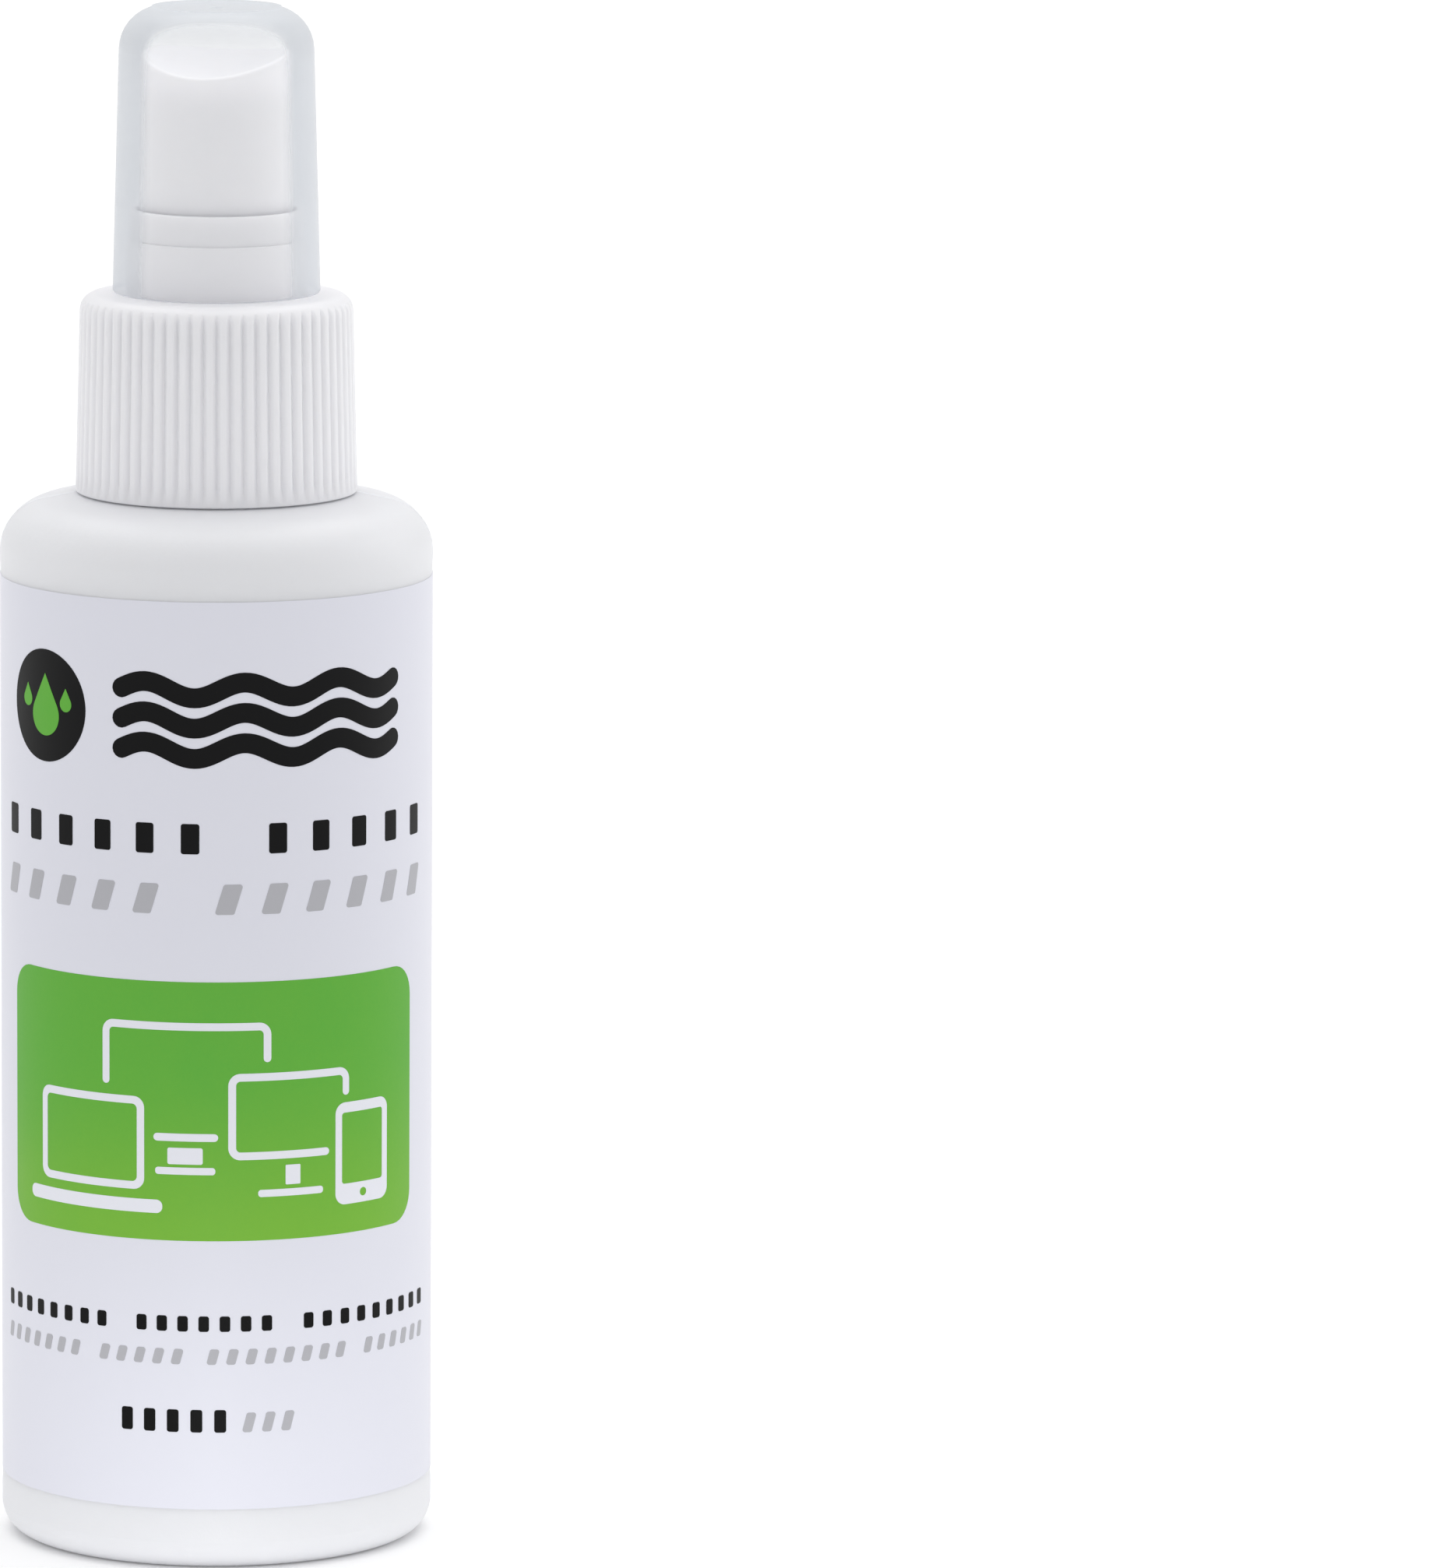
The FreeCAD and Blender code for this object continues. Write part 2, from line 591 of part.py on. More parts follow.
def make_closure(doc):
    """Ribbed screw closure with a stepped collar that guides the spray head and grips the hood."""
    body = make_body(doc, "screw_closure")
    draft = tangent(size("closure_draft"))
    top_radius = SKIRT_RADIUS - (CLOSURE_TOP - CLOSURE_BOTTOM) * draft
    step = CLOSURE_TOP + size("collar_step_height")
    profile = [
        (SKIRT_BORE, CLOSURE_BOTTOM),
        (SKIRT_RADIUS, CLOSURE_BOTTOM),
        (top_radius, CLOSURE_TOP),
        (COLLAR_FOOT_RADIUS, CLOSURE_TOP),
        (COLLAR_FOOT_RADIUS, step),
        (COLLAR_RADIUS, step),
        (COLLAR_RADIUS, COLLAR_TOP),
        (COLLAR_BORE, COLLAR_TOP),
        (COLLAR_BORE, CLOSURE_TOP),
        (CLOSURE_HOLE, CLOSURE_TOP),
        (CLOSURE_HOLE, PLATE_BOTTOM),
        (SKIRT_BORE, PLATE_BOTTOM),
    ]
    revolved(body, "closure_shell", profile)
    rounded(body, "closure_edge", size("closure_corner"), [(top_radius, CLOSURE_TOP)])
    collar_rings = [
        (COLLAR_RADIUS, COLLAR_TOP),
        (COLLAR_BORE, COLLAR_TOP),
        (COLLAR_FOOT_RADIUS, step),
    ]
    rounded(body, "collar_edges", size("collar_rounding"), collar_rings)

    start = NECK_THREAD_START - size("thread_pitch") * (size("closure_thread_lag") + 0.5)
    lag_angle = size("closure_thread_lag").value * FULL_TURN
    section = thread_section(
        body,
        "closure_thread_section",
        SKIRT_BORE + size("thread_sink"),
        SKIRT_BORE - size("closure_thread_depth"),
        start,
    )
    turn_sketch(section, -lag_angle)
    helical(body, "closure_thread", section, size("thread_pitch"), size("closure_thread_turns"))

    band_top = CLOSURE_BOTTOM + size("band_height")
    wall_there = SKIRT_RADIUS - size("band_height") * draft
    middle = wall_there + size("groove_radius") - size("groove_depth")
    section = circles(
        body, "groove_section", [(middle, 0, size("groove_radius"))], "XY_Plane", band_top
    )
    groove = body.newObject("PartDesign::Pocket", "groove")
    groove.Profile = section
    groove.Type = "ThroughAll"
    groove.UseCustomVector = True
    groove.Direction = FreeCAD.Vector(-draft.value, 0, 1)
    must_cut(groove)
    polar(body, "grooves", groove, size("rib_count"))
    return body


def turn_sketch(sketch, degrees):
    """Turns a sketch on the XZ plane about the Z axis."""
    sketch.AttachmentOffset.Rotation = FreeCAD.Rotation(FreeCAD.Vector(0, 1, 0), degrees)
    sketch.Document.recompute()


def make_hood(doc):
    """Clear push-on hood: a tapered thimble with a dished top and a gate mark."""
    body = make_body(doc, "hood")
    draft = tangent(size("hood_draft"))
    height = HOOD_TOP - HOOD_BOTTOM
    foot_radius = HOOD_BORE + size("hood_wall")
    top_radius = foot_radius - height * draft
    ceiling_radius = HOOD_BORE - (HOOD_CEILING - HOOD_BOTTOM) * draft
    outside = [
        (ZERO, HOOD_BOTTOM),
        (foot_radius, HOOD_BOTTOM),
        (top_radius, HOOD_TOP),
        (ZERO, HOOD_TOP),
    ]
    revolved(body, "hood_outside", outside)
    rounded(body, "hood_crown", size("hood_corner"), [(top_radius, HOOD_TOP)])
    inside = [
        (ZERO, HOOD_BOTTOM),
        (HOOD_BORE, HOOD_BOTTOM),
        (ceiling_radius, HOOD_CEILING),
        (ZERO, HOOD_CEILING),
    ]
    grooved(body, "hood_inside", inside)
    inner_corner = size("hood_corner") - size("hood_wall")
    rounded(body, "hood_inner_crown", inner_corner, [(ceiling_radius, HOOD_CEILING)])
    foot_rings = [(foot_radius, HOOD_BOTTOM), (HOOD_BORE, HOOD_BOTTOM)]
    rounded(body, "hood_foot", size("hood_foot_rounding"), foot_rings)
    dish = [
        (ZERO, HOOD_TOP - size("hood_disc_depth") - size("gate_depth")),
        (size("gate_radius") / 2, HOOD_TOP - size("hood_disc_depth") - size("gate_depth")),
        (size("gate_radius"), HOOD_TOP - size("hood_disc_depth")),
        (size("hood_disc_radius") - size("hood_disc_depth"), HOOD_TOP - size("hood_disc_depth")),
        (size("hood_disc_radius"), HOOD_TOP),
        (ZERO, HOOD_TOP),
    ]
    grooved(body, "hood_dish", dish)
    return body


# ---------------------------------------------------------------- the pump's fixed pieces


def make_washer(doc, label, bore, radius, bottom, thickness):
    """A flat ring."""
    body = make_body(doc, label)
    top = bottom + thickness
    corners = [(bore, bottom), (radius, bottom), (radius, top), (bore, top)]
    revolved(body, label + "_ring", corners)
    return body


def make_housing(doc):
    """Pump housing: neck flange, sleeve, piston chamber, ball cage and dip tube socket."""
    body = make_body(doc, "pump_housing")
    barrel_end = PLUG_BOTTOM - size("sleeve_wall")
    cage_outside_bottom = CHAMBER_FLOOR - size("chamber_wall")
    outside = [
        (ZERO, SOCKET_BOTTOM),
        (SOCKET_RADIUS, SOCKET_BOTTOM),
        (SOCKET_RADIUS, SOCKET_TOP),
        (CHAMBER_OUTSIDE, cage_outside_bottom),
        (CHAMBER_OUTSIDE, barrel_end),
        (SLEEVE_RADIUS, barrel_end + (SLEEVE_RADIUS - CHAMBER_OUTSIDE)),
        (SLEEVE_RADIUS, FLANGE_BOTTOM),
        (FLANGE_RADIUS, FLANGE_BOTTOM),
        (FLANGE_RADIUS, DECK),
        (SLEEVE_RADIUS, DECK),
        (SLEEVE_RADIUS, SLEEVE_TOP),
        (ZERO, SLEEVE_TOP),
    ]
    revolved(body, "housing_outside", outside)
    inside = [
        (ZERO, SOCKET_BOTTOM),
        (size("tube_radius"), SOCKET_BOTTOM),
        (size("tube_radius"), SOCKET_TOP),
        (size("inlet_bore"), SOCKET_TOP),
        (size("inlet_bore"), SEAT_BOTTOM),
        (CAGE_RADIUS, SEAT_BOTTOM + CAGE_RADIUS - size("inlet_bore")),
        (CAGE_RADIUS, CHAMBER_FLOOR - size("cage_lip_height")),
        (CAGE_RADIUS - size("cage_lip"), CHAMBER_FLOOR - size("cage_lip_height")),
        (CAGE_RADIUS - size("cage_lip"), CHAMBER_FLOOR),
        (size("chamber_radius"), CHAMBER_FLOOR),
        (size("chamber_radius"), PLUG_BOTTOM),
        (SLEEVE_BORE, PLUG_BOTTOM),
        (SLEEVE_BORE, SLEEVE_TOP),
        (ZERO, SLEEVE_TOP),
    ]
    grooved(body, "housing_inside", inside)
    rounded(body, "flange_edge", size("rim_rounding"), [(FLANGE_RADIUS, FLANGE_BOTTOM)])
    vent(body, "housing_vent")
    return body


def vent(body, name):
    """The air hole that lets the bottle breathe, through the wall on +X."""
    height = (PLUG_BOTTOM + FLANGE_BOTTOM) / 2
    hole = circles(body, name + "_section", [(0, height, size("vent_radius"))], "YZ_Plane")
    return pocket(body, name, hole, length=SLEEVE_RADIUS + size("sleeve_wall"), reverse=True)


def make_turret(doc):
    """Turret: plugs into the housing's sleeve, traps the closure's plate and guides the stem."""
    body = make_body(doc, "turret")
    flange_top = SLEEVE_TOP + size("turret_flange_thickness")
    flange_radius = CLOSURE_HOLE + size("turret_flange_lap")
    profile = [
        (PLUG_BORE, PLUG_BOTTOM),
        (SLEEVE_BORE, PLUG_BOTTOM),
        (SLEEVE_BORE, SLEEVE_TOP),
        (flange_radius, SLEEVE_TOP),
        (flange_radius, flange_top),
        (TURRET_BOSS_RADIUS, flange_top),
        (TURRET_BOSS_RADIUS, TURRET_BOSS_TOP),
        (GUIDE_BORE, TURRET_BOSS_TOP),
        (GUIDE_BORE, TURRET_CEILING),
        (PLUG_BORE, TURRET_CEILING),
    ]
    revolved(body, "turret_shell", profile)
    rings = [(TURRET_BOSS_RADIUS, TURRET_BOSS_TOP), (flange_radius, flange_top)]
    rounded(body, "turret_edges", size("collar_rounding"), rings)
    vent(body, "turret_vent")
    return body


def make_dip_tube(doc):
    """Dip tube from the housing's socket almost to the bottle's floor, its end cut on a slope."""
    body = make_body(doc, "dip_tube")
    radius = size("tube_radius")
    bore = radius - size("tube_wall")
    tip = size("base_recess") + size("base_thickness") + size("tube_clearance")
    corners = [(bore, tip), (radius, tip), (radius, SOCKET_TOP), (bore, SOCKET_TOP)]
    revolved(body, "tube_wall", corners)
    rise = radius * 2 * tangent(size("tube_cut_angle"))
    wedge = [(-radius, tip), (radius, tip), (radius, tip + rise)]
    cut = outline(body, "tube_cut_outline", wedge)
    pocket(body, "tube_cut", cut, both_ways=True)
    return body


def make_spring(doc, label, mean_radius, wire, bottom, top, active_turns):
    """Compression spring: closed turns at both ends and open turns between them."""
    body = make_body(doc, label)
    closed_pitch = wire * size("closed_turn_pitch")
    first = bottom + size("spring_end_gap") + wire / 2
    last = top - size("spring_end_gap") - wire / 2
    open_pitch = (last - first - closed_pitch * 2) / active_turns
    stages = [
        ("lower_turn", first, closed_pitch, as_size(1)),
        ("open_turns", first + closed_pitch, open_pitch, active_turns),
        ("upper_turn", last - closed_pitch, closed_pitch, as_size(1)),
    ]
    for name, height, pitch, turns in stages:
        section = circles(body, f"{label}_{name}_section", [(mean_radius, height, wire / 2)])
        helical(body, f"{label}_{name}", section, pitch, turns)
    return body


def make_ball(doc):
    """Steel ball that closes the inlet."""
    ball = doc.addObject("Part::Sphere", "inlet_ball")
    ball.Label = "inlet_ball"
    bind(ball, "Radius", size("ball_radius"))
    bind(ball, "Placement.Base.z", BALL_HEIGHT)
    return ball


# ---------------------------------------------------------------- the pump's moving pieces


def make_stem(doc):
    """Hollow stem: carries the spray head, and draws liquid in through a cross hole near its foot."""
    body = make_body(doc, "stem")
    flange = PLUG_BORE - size("stem_flange_gap")
    profile = [
        (STEM_BORE, STEM_END),
        (STEM_FOOT_RADIUS, STEM_END),
        (STEM_FOOT_RADIUS, STEM_FLANGE_BOTTOM),
        (flange, STEM_FLANGE_BOTTOM),
        (flange, STEM_FLANGE_TOP),
        (size("stem_radius"), STEM_FLANGE_TOP),
        (size("stem_radius"), STEM_TOP),
        (STEM_BORE, STEM_TOP),
    ]
    revolved(body, "stem_tube", profile)
    port = circles(
        body, "port_section", [(0, STEM_END + size("port_height"), size("port_radius"))]
    )
    pocket(body, "cross_hole", port, both_ways=True)
    return body


def make_valve_rod(doc):
    """Valve rod: plugged into the stem's foot, its cone closes the piston and its tail guides the spring."""
    body = make_body(doc, "valve_rod")
    tail = ROD_FLANGE_BOTTOM - size("rod_guide_length")
    tail_radius = RETURN_MEAN_RADIUS - size("return_wire") / 2 - size("rod_guide_gap")
    profile = [
        (ZERO, tail),
        (tail_radius / 2, tail),
        (tail_radius, tail + tail_radius / 2),
        (tail_radius, ROD_FLANGE_BOTTOM),
        (ROD_FLANGE_RADIUS, ROD_FLANGE_BOTTOM),
        (ROD_FLANGE_RADIUS, ROD_CONE_BOTTOM),
        (ROD_CONE_RADIUS, ROD_CONE_BOTTOM),
        (STEM_FOOT_RADIUS, STEM_END),
        (STEM_BORE, STEM_END),
        (STEM_BORE, STEM_END + size("rod_spigot_length")),
        (ZERO, STEM_END + size("rod_spigot_length")),
    ]
    revolved(body, "rod_turning", profile)
    return body


def make_piston(doc):
    """Piston: two sealing lips that run in the chamber, and a conical seat for the valve rod."""
    body = make_body(doc, "piston")
    gap = size("piston_gap")
    lip = size("chamber_radius") - gap
    waist = lip - size("piston_waist")
    bore = STEM_FOOT_RADIUS + gap
    lip_height = size("piston_lip_height")
    slope = (ROD_CONE_RADIUS - STEM_FOOT_RADIUS) / size("rod_cone_height")
    seat_mouth = bore + gap + (STEM_END - PISTON_BOTTOM) * slope
    gallery = bore + size("piston_gallery")
    seal = PISTON_TOP - size("piston_seal_height")
    profile = [
        (gallery, STEM_END - (size("piston_gallery") - gap) / slope),
        (seat_mouth, PISTON_BOTTOM),
        (lip, PISTON_BOTTOM),
        (waist, PISTON_BOTTOM + lip_height),
        (waist, PISTON_TOP - lip_height),
        (lip, PISTON_TOP),
        (bore, PISTON_TOP),
        (bore, seal),
        (gallery, seal - size("piston_gallery")),
    ]
    revolved(body, "piston_turning", profile)
    return body


# ---------------------------------------------------------------- spray head and nozzle


def place_with_head(body, across=ZERO, out=ZERO, up=ZERO, tip_over=0):
    """Puts a piece of the spray head in place, turned with the head at rest."""
    turn = size("head_turn")
    upright = FreeCAD.Rotation(FreeCAD.Vector(0, 0, 1), turn.value)
    lean = FreeCAD.Rotation(FreeCAD.Vector(1, 0, 0), tip_over)
    body.Placement.Rotation = upright.multiply(lean)
    bind(body, "Placement.Base.x", across * cosine(turn) - out * sine(turn))
    bind(body, "Placement.Base.y", across * sine(turn) + out * cosine(turn))
    bind(body, "Placement.Base.z", up)


def make_spray_head(doc):
    """Spray head: a hollow button with a finger rest, a stem socket and a nozzle pocket facing +Y."""
    body = make_body(doc, "spray_head")
    skirt = size("head_skirt_radius")
    socket = size("stem_radius") + size("stem_socket_gap")
    boss = socket + size("head_boss_wall")
    draft = tangent(size("head_draft"))
    blank_top = HEAD_TOP + size("scoop_depth")
    outside = [
        (ZERO, HEAD_BOTTOM),
        (skirt, HEAD_BOTTOM),
        (HEAD_TOP_RADIUS - size("scoop_depth") * draft, blank_top),
        (ZERO, blank_top),
    ]
    revolved(body, "head_outside", outside)
    finger_rest(body)

    hollow = skirt - size("head_wall")
    block_bottom = HEAD_TOP - size("hollow_depth")
    hollow_there = hollow - (block_bottom - HEAD_BOTTOM) * draft
    lower = [
        (ZERO, HEAD_BOTTOM),
        (hollow, HEAD_BOTTOM),
        (hollow_there, block_bottom),
        (boss, block_bottom),
        (boss, BOSS_BOTTOM),
        (ZERO, BOSS_BOTTOM),
    ]
    grooved(body, "lower_hollow", lower)
    hollow_top = HEAD_TOP - size("crown_thickness")
    upper = [
        (-boss, block_bottom),
        (-hollow_there, block_bottom),
        (-(hollow_there - (hollow_top - block_bottom) * draft), hollow_top),
        (-boss, hollow_top),
    ]
    hollow_angle = size("hollow_angle")
    grooved(body, "upper_hollow", upper, plane="YZ_Plane", angle=hollow_angle, midplane=True)

    cross_height = NOZZLE_HEIGHT - (size("insert_radius") + POST_RADIUS) / 2
    feed_top = cross_height + size("cross_radius")
    bore = [
        (ZERO, BOSS_BOTTOM),
        (socket, BOSS_BOTTOM),
        (socket, STEM_TOP),
        (size("feed_radius"), STEM_TOP),
        (size("feed_radius"), feed_top),
        (ZERO, feed_top),
    ]
    grooved(body, "stem_socket", bore)

    pocket_floor = INSERT_BACK - size("insert_pocket_relief")
    ring = [(0, NOZZLE_HEIGHT, size("insert_radius")), (0, NOZZLE_HEIGHT, POST_RADIUS)]
    around = circles(body, "nozzle_pocket_section", ring, offset=-pocket_floor)
    pocket(body, "nozzle_pocket", around)
    post_end = INSERT_FRONT - size("insert_face")
    disc = [(0, NOZZLE_HEIGHT, size("insert_radius"))]
    front = circles(body, "nozzle_mouth_section", disc, offset=-post_end)
    pocket(body, "nozzle_mouth", front)
    channel = circles(body, "cross_section", [(0, cross_height, size("cross_radius"))])
    reach = pocket_floor + size("insert_pocket_relief")
    pocket(body, "cross_channel", channel, length=reach)
    place_with_head(body)
    return body


def finger_rest(body):
    """Hollows the spray head's top with a wide trough that falls towards the front, and rounds its rim."""
    sketch = new_sketch(body, "scoop_section")
    radius = size("scoop_radius")
    centre_height = HEAD_TOP - size("scoop_depth") + radius
    centre = FreeCAD.Vector(0, centre_height.value, 0)
    number = sketch.addGeometry(Part.Circle(centre, FreeCAD.Vector(0, 0, 1), radius.value))
    pin_point(sketch, number, 3, 0, centre_height)
    made = sketch.addConstraint(Sketcher.Constraint("Radius", number, radius.value))
    bind(sketch, f"Constraints[{made}]", radius)
    pivot = FreeCAD.Vector(0, (HEAD_TOP - size("scoop_depth")).value, 0)
    tilt = FreeCAD.Rotation(FreeCAD.Vector(1, 0, 0), size("scoop_tilt").value)
    sketch.AttachmentOffset = FreeCAD.Placement(pivot - tilt.multVec(pivot), tilt)
    body.Document.recompute()
    pocket(body, "scoop", sketch, both_ways=True)

    half_way = (HEAD_BOTTOM.value + HEAD_TOP.value) / 2
    edges = enumerate(body.Tip.Shape.Edges, start=1)
    rim = [f"Edge{number}" for number, edge in edges if edge.BoundBox.ZMin > half_way]
    fillet(body, "crown_edge", rim, size("crown_rounding"))
    rounded(body, "skirt_edge", size("head_lip_rounding"), [(size("head_skirt_radius"), HEAD_BOTTOM)])


def make_nozzle_insert(doc):
    """Nozzle insert: a cup pressed over the head's post, with a swirl chamber behind the spray hole."""
    body = make_body(doc, "nozzle_insert")
    length = size("insert_length")
    inner_face = length - size("insert_face")
    chamber_top = inner_face + size("swirl_depth")
    radius = size("insert_radius")
    outside = [(ZERO, ZERO), (radius, ZERO), (radius, length), (ZERO, length)]
    revolved(body, "insert_outside", outside)
    inside = [
        (ZERO, ZERO),
        (POST_BORE, ZERO),
        (POST_BORE, inner_face),
        (size("swirl_radius"), inner_face),
        (size("swirl_radius"), chamber_top),
        (size("orifice_radius"), chamber_top),
        (size("orifice_radius"), length - size("mouth_depth")),
        (size("mouth_radius"), length),
        (ZERO, length),
    ]
    grooved(body, "insert_inside", inside)
    near = size("swirl_radius") - size("orifice_radius") * 1.5
    slot = [
        (ZERO, near),
        (POST_BORE, near),
        (POST_BORE, size("swirl_radius")),
        (ZERO, size("swirl_radius")),
    ]
    sketch = outline(body, "slot_outline", slot, "XY_Plane", inner_face)
    cut = pocket(body, "swirl_slot", sketch, length=size("swirl_depth"), reverse=True)
    polar(body, "swirl_slot_ring", cut, size("swirl_slots"))
    place_with_head(body, out=INSERT_BACK, up=NOZZLE_HEIGHT, tip_over=-90)
    return body


# ---------------------------------------------------------------- build, check and write


def make_all(doc):
    """Every sub-part, in the order they go together."""
    stem_gasket_bottom = TURRET_CEILING - size("stem_gasket_thickness")
    return [
        make_bottle(doc),
        make_label(doc),
        make_washer(
            doc, "neck_gasket", NECK_BORE, FLANGE_RADIUS, GASKET_BOTTOM, size("gasket_thickness")
        ),
        make_housing(doc),
        make_dip_tube(doc),
        make_ball(doc),
        make_spring(
            doc,
            "return_spring",
            RETURN_MEAN_RADIUS,
            size("return_wire"),
            CHAMBER_FLOOR,
            ROD_FLANGE_BOTTOM,
            size("return_active_turns"),
        ),
        make_piston(doc),
        make_valve_rod(doc),
        make_spring(
            doc,
            "pressure_spring",
            PRESSURE_MEAN_RADIUS,
            size("pressure_wire"),
            PISTON_TOP,
            STEM_FLANGE_BOTTOM,
            size("pressure_active_turns"),
        ),
        make_stem(doc),
        make_washer(
            doc, "stem_gasket", GUIDE_BORE, PLUG_BORE, stem_gasket_bottom, size("stem_gasket_thickness")
        ),
        make_turret(doc),
        make_closure(doc),
        make_spray_head(doc),
        make_nozzle_insert(doc),
        make_hood(doc),
    ]


def check(doc, pieces):
    """Stops the build if any object failed or any sub-part isn't sound."""
    doc.recompute()
    for thing in doc.Objects:
        if "Invalid" in thing.State or "Error" in thing.State:
            raise RuntimeError(f"{thing.Label} failed: {thing.State}")
    for piece in pieces:
        shape = piece.Shape
        if shape.isNull() or not shape.isValid() or shape.Volume <= 0 or not shape.Solids:
            raise RuntimeError(f"{piece.Label} has no sound shape")


def main():
    doc = FreeCAD.newDocument("spray_bottle")
    make_sheet(doc)
    pieces = make_all(doc)
    check(doc, pieces)
    os.makedirs("parts", exist_ok=True)
    for piece in pieces:
        piece.Shape.exportStep(f"parts/{piece.Label}.step")
        print(f"{piece.Label}: {len(piece.Shape.Solids)} solid, {piece.Shape.Volume:.1f} mm3")


main()
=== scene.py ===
"""The looks of a small pump spray bottle for cleaning lenses and screens.

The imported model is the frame. The label, the ribbed closure, the clear hood and the two springs are
built here in place of its own, and the print and the bottle's mould marks are added. The other pieces
keep their own shape and get a finish.
Places are in the frame's metres; the sizes below are in millimetres and are turned into metres by MM.
"""

import math

import bmesh
import bpy
from mathutils import Matrix, Vector


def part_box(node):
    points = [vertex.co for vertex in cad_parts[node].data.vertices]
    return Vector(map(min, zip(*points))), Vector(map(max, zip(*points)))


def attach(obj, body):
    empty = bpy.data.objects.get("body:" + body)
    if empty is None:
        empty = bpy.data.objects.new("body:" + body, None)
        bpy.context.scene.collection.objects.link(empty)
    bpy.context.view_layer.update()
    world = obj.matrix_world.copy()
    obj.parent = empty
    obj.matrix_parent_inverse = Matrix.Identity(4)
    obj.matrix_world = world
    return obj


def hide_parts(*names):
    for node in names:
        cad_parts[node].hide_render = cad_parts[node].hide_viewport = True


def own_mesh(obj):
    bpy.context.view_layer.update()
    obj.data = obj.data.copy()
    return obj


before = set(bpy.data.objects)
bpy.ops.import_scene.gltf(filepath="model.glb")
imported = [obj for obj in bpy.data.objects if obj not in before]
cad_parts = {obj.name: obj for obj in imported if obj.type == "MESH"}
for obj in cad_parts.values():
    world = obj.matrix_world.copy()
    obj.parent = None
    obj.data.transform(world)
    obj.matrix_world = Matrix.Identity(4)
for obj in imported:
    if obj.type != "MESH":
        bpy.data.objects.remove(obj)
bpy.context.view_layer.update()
scene = bpy.context.scene

MM = 0.001
FULL_TURN = 2 * math.pi
ARC_STEP = math.radians(10)  # one step of a rounded corner
GUARD = 0.1  # how far past a rounding the ring lies that keeps a flat wall's shading flat
SHARP = math.radians(32)  # edges that turn by more than this stay crisp
AXIS_REACH = 1e-6  # points nearer the axis than this are on it
PEN = 0.75  # width of the pictograms' lines
PEN_ROUNDING = 0.8


def level(node, end):
    """Height in millimetres of a CAD piece's lower end (0) or upper end (1)."""
    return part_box(node)[end].z / MM


def reach(node):
    """Outside radius in millimetres of a round CAD piece."""
    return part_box(node)[1].x / MM


# ---------------------------------------------------------------- lines and outlines


def rounded_line(corners, guard=0.0):
    """Points along a line of corners (across, up, rounding), each rounding drawn as an arc."""
    points = []
    for index, (across, up, rounding) in enumerate(corners):
        corner = Vector((across, up))
        if rounding == 0:
            points.append(corner)
            continue
        back = (Vector(corners[index - 1][:2]) - corner).normalized()
        ahead = (Vector(corners[(index + 1) % len(corners)][:2]) - corner).normalized()
        opening = back.angle(ahead)
        reached = rounding / math.tan(opening / 2)
        centre = corner + (back + ahead).normalized() * rounding / math.sin(opening / 2)
        start = corner + back * reached - centre
        sweep = math.remainder(angle_of(corner + ahead * reached - centre) - angle_of(start), FULL_TURN)
        steps = max(3, math.ceil(abs(sweep) / ARC_STEP))
        if guard:
            points.append(corner + back * (reached + guard))
        for step in range(steps + 1):
            turn = angle_of(start) + sweep * step / steps
            points.append(centre + Vector((math.cos(turn), math.sin(turn))) * rounding)
        if guard:
            points.append(corner + ahead * (reached + guard))
    return points


def angle_of(vector):
    """Angle of a flat vector from the first axis."""
    return math.atan2(vector.y, vector.x)


def box_shape(left, low, right, high, rounding):
    """Outline of an upright box with rounded corners."""
    corners = [(left, low), (right, low), (right, high), (left, high)]
    return rounded_line([(across, up, rounding) for across, up in corners])


def disc_shape(across, up, radius):
    """Outline of a round spot."""
    steps = max(16, round(radius * 12))
    turns = [FULL_TURN * step / steps for step in range(steps)]
    return [Vector((across + radius * math.cos(t), up + radius * math.sin(t))) for t in turns]


def drop_shape(across, up, radius, tip):
    """Outline of a falling drop: a round belly whose sides run straight up to a tip."""
    shoulder = math.acos(radius / tip)
    steps = 28
    start = math.pi / 2 + shoulder
    sweep = FULL_TURN - 2 * shoulder
    points = [Vector((across, up + tip))]
    for step in range(steps + 1):
        turn = start + sweep * step / steps
        points.append(Vector((across + radius * math.cos(turn), up + radius * math.sin(turn))))
    return points


def stroke_shape(line, width):
    """Outline of a pen stroke with round ends along a line of points."""
    half = width / 2
    left, right = [], []
    for index, point in enumerate(line):
        before = line[max(index - 1, 0)]
        after = line[min(index + 1, len(line) - 1)]
        along = (after - before).normalized()
        side = Vector((-along.y, along.x)) * half
        left.append(point + side)
        right.append(point - side)
    return left + round_end(line[-2], line[-1], half) + right[::-1] + round_end(line[1], line[0], half)


def round_end(inner, tip, radius):
    """Half circle round the end of a stroke, from its left side to its right."""
    along = angle_of(tip - inner)
    turns = [along + math.pi / 2 - math.pi * step / 8 for step in range(1, 8)]
    return [tip + Vector((math.cos(turn), math.sin(turn))) * radius for turn in turns]


def pen_line(corners):
    """A stroke of the pen along corners (across, up), each with the same rounding."""
    last = len(corners) - 1
    line = [
        (across, up, PEN_ROUNDING if 0 < index < last else 0)
        for index, (across, up) in enumerate(corners)
    ]
    return stroke_shape(rounded_line(line), PEN)


# ---------------------------------------------------------------- meshes and pieces


def mesh_of(shape, name):
    """Mesh with the shape of a bmesh, which is freed."""
    mesh = bpy.data.meshes.new(name)
    shape.to_mesh(mesh)
    shape.free()
    return mesh


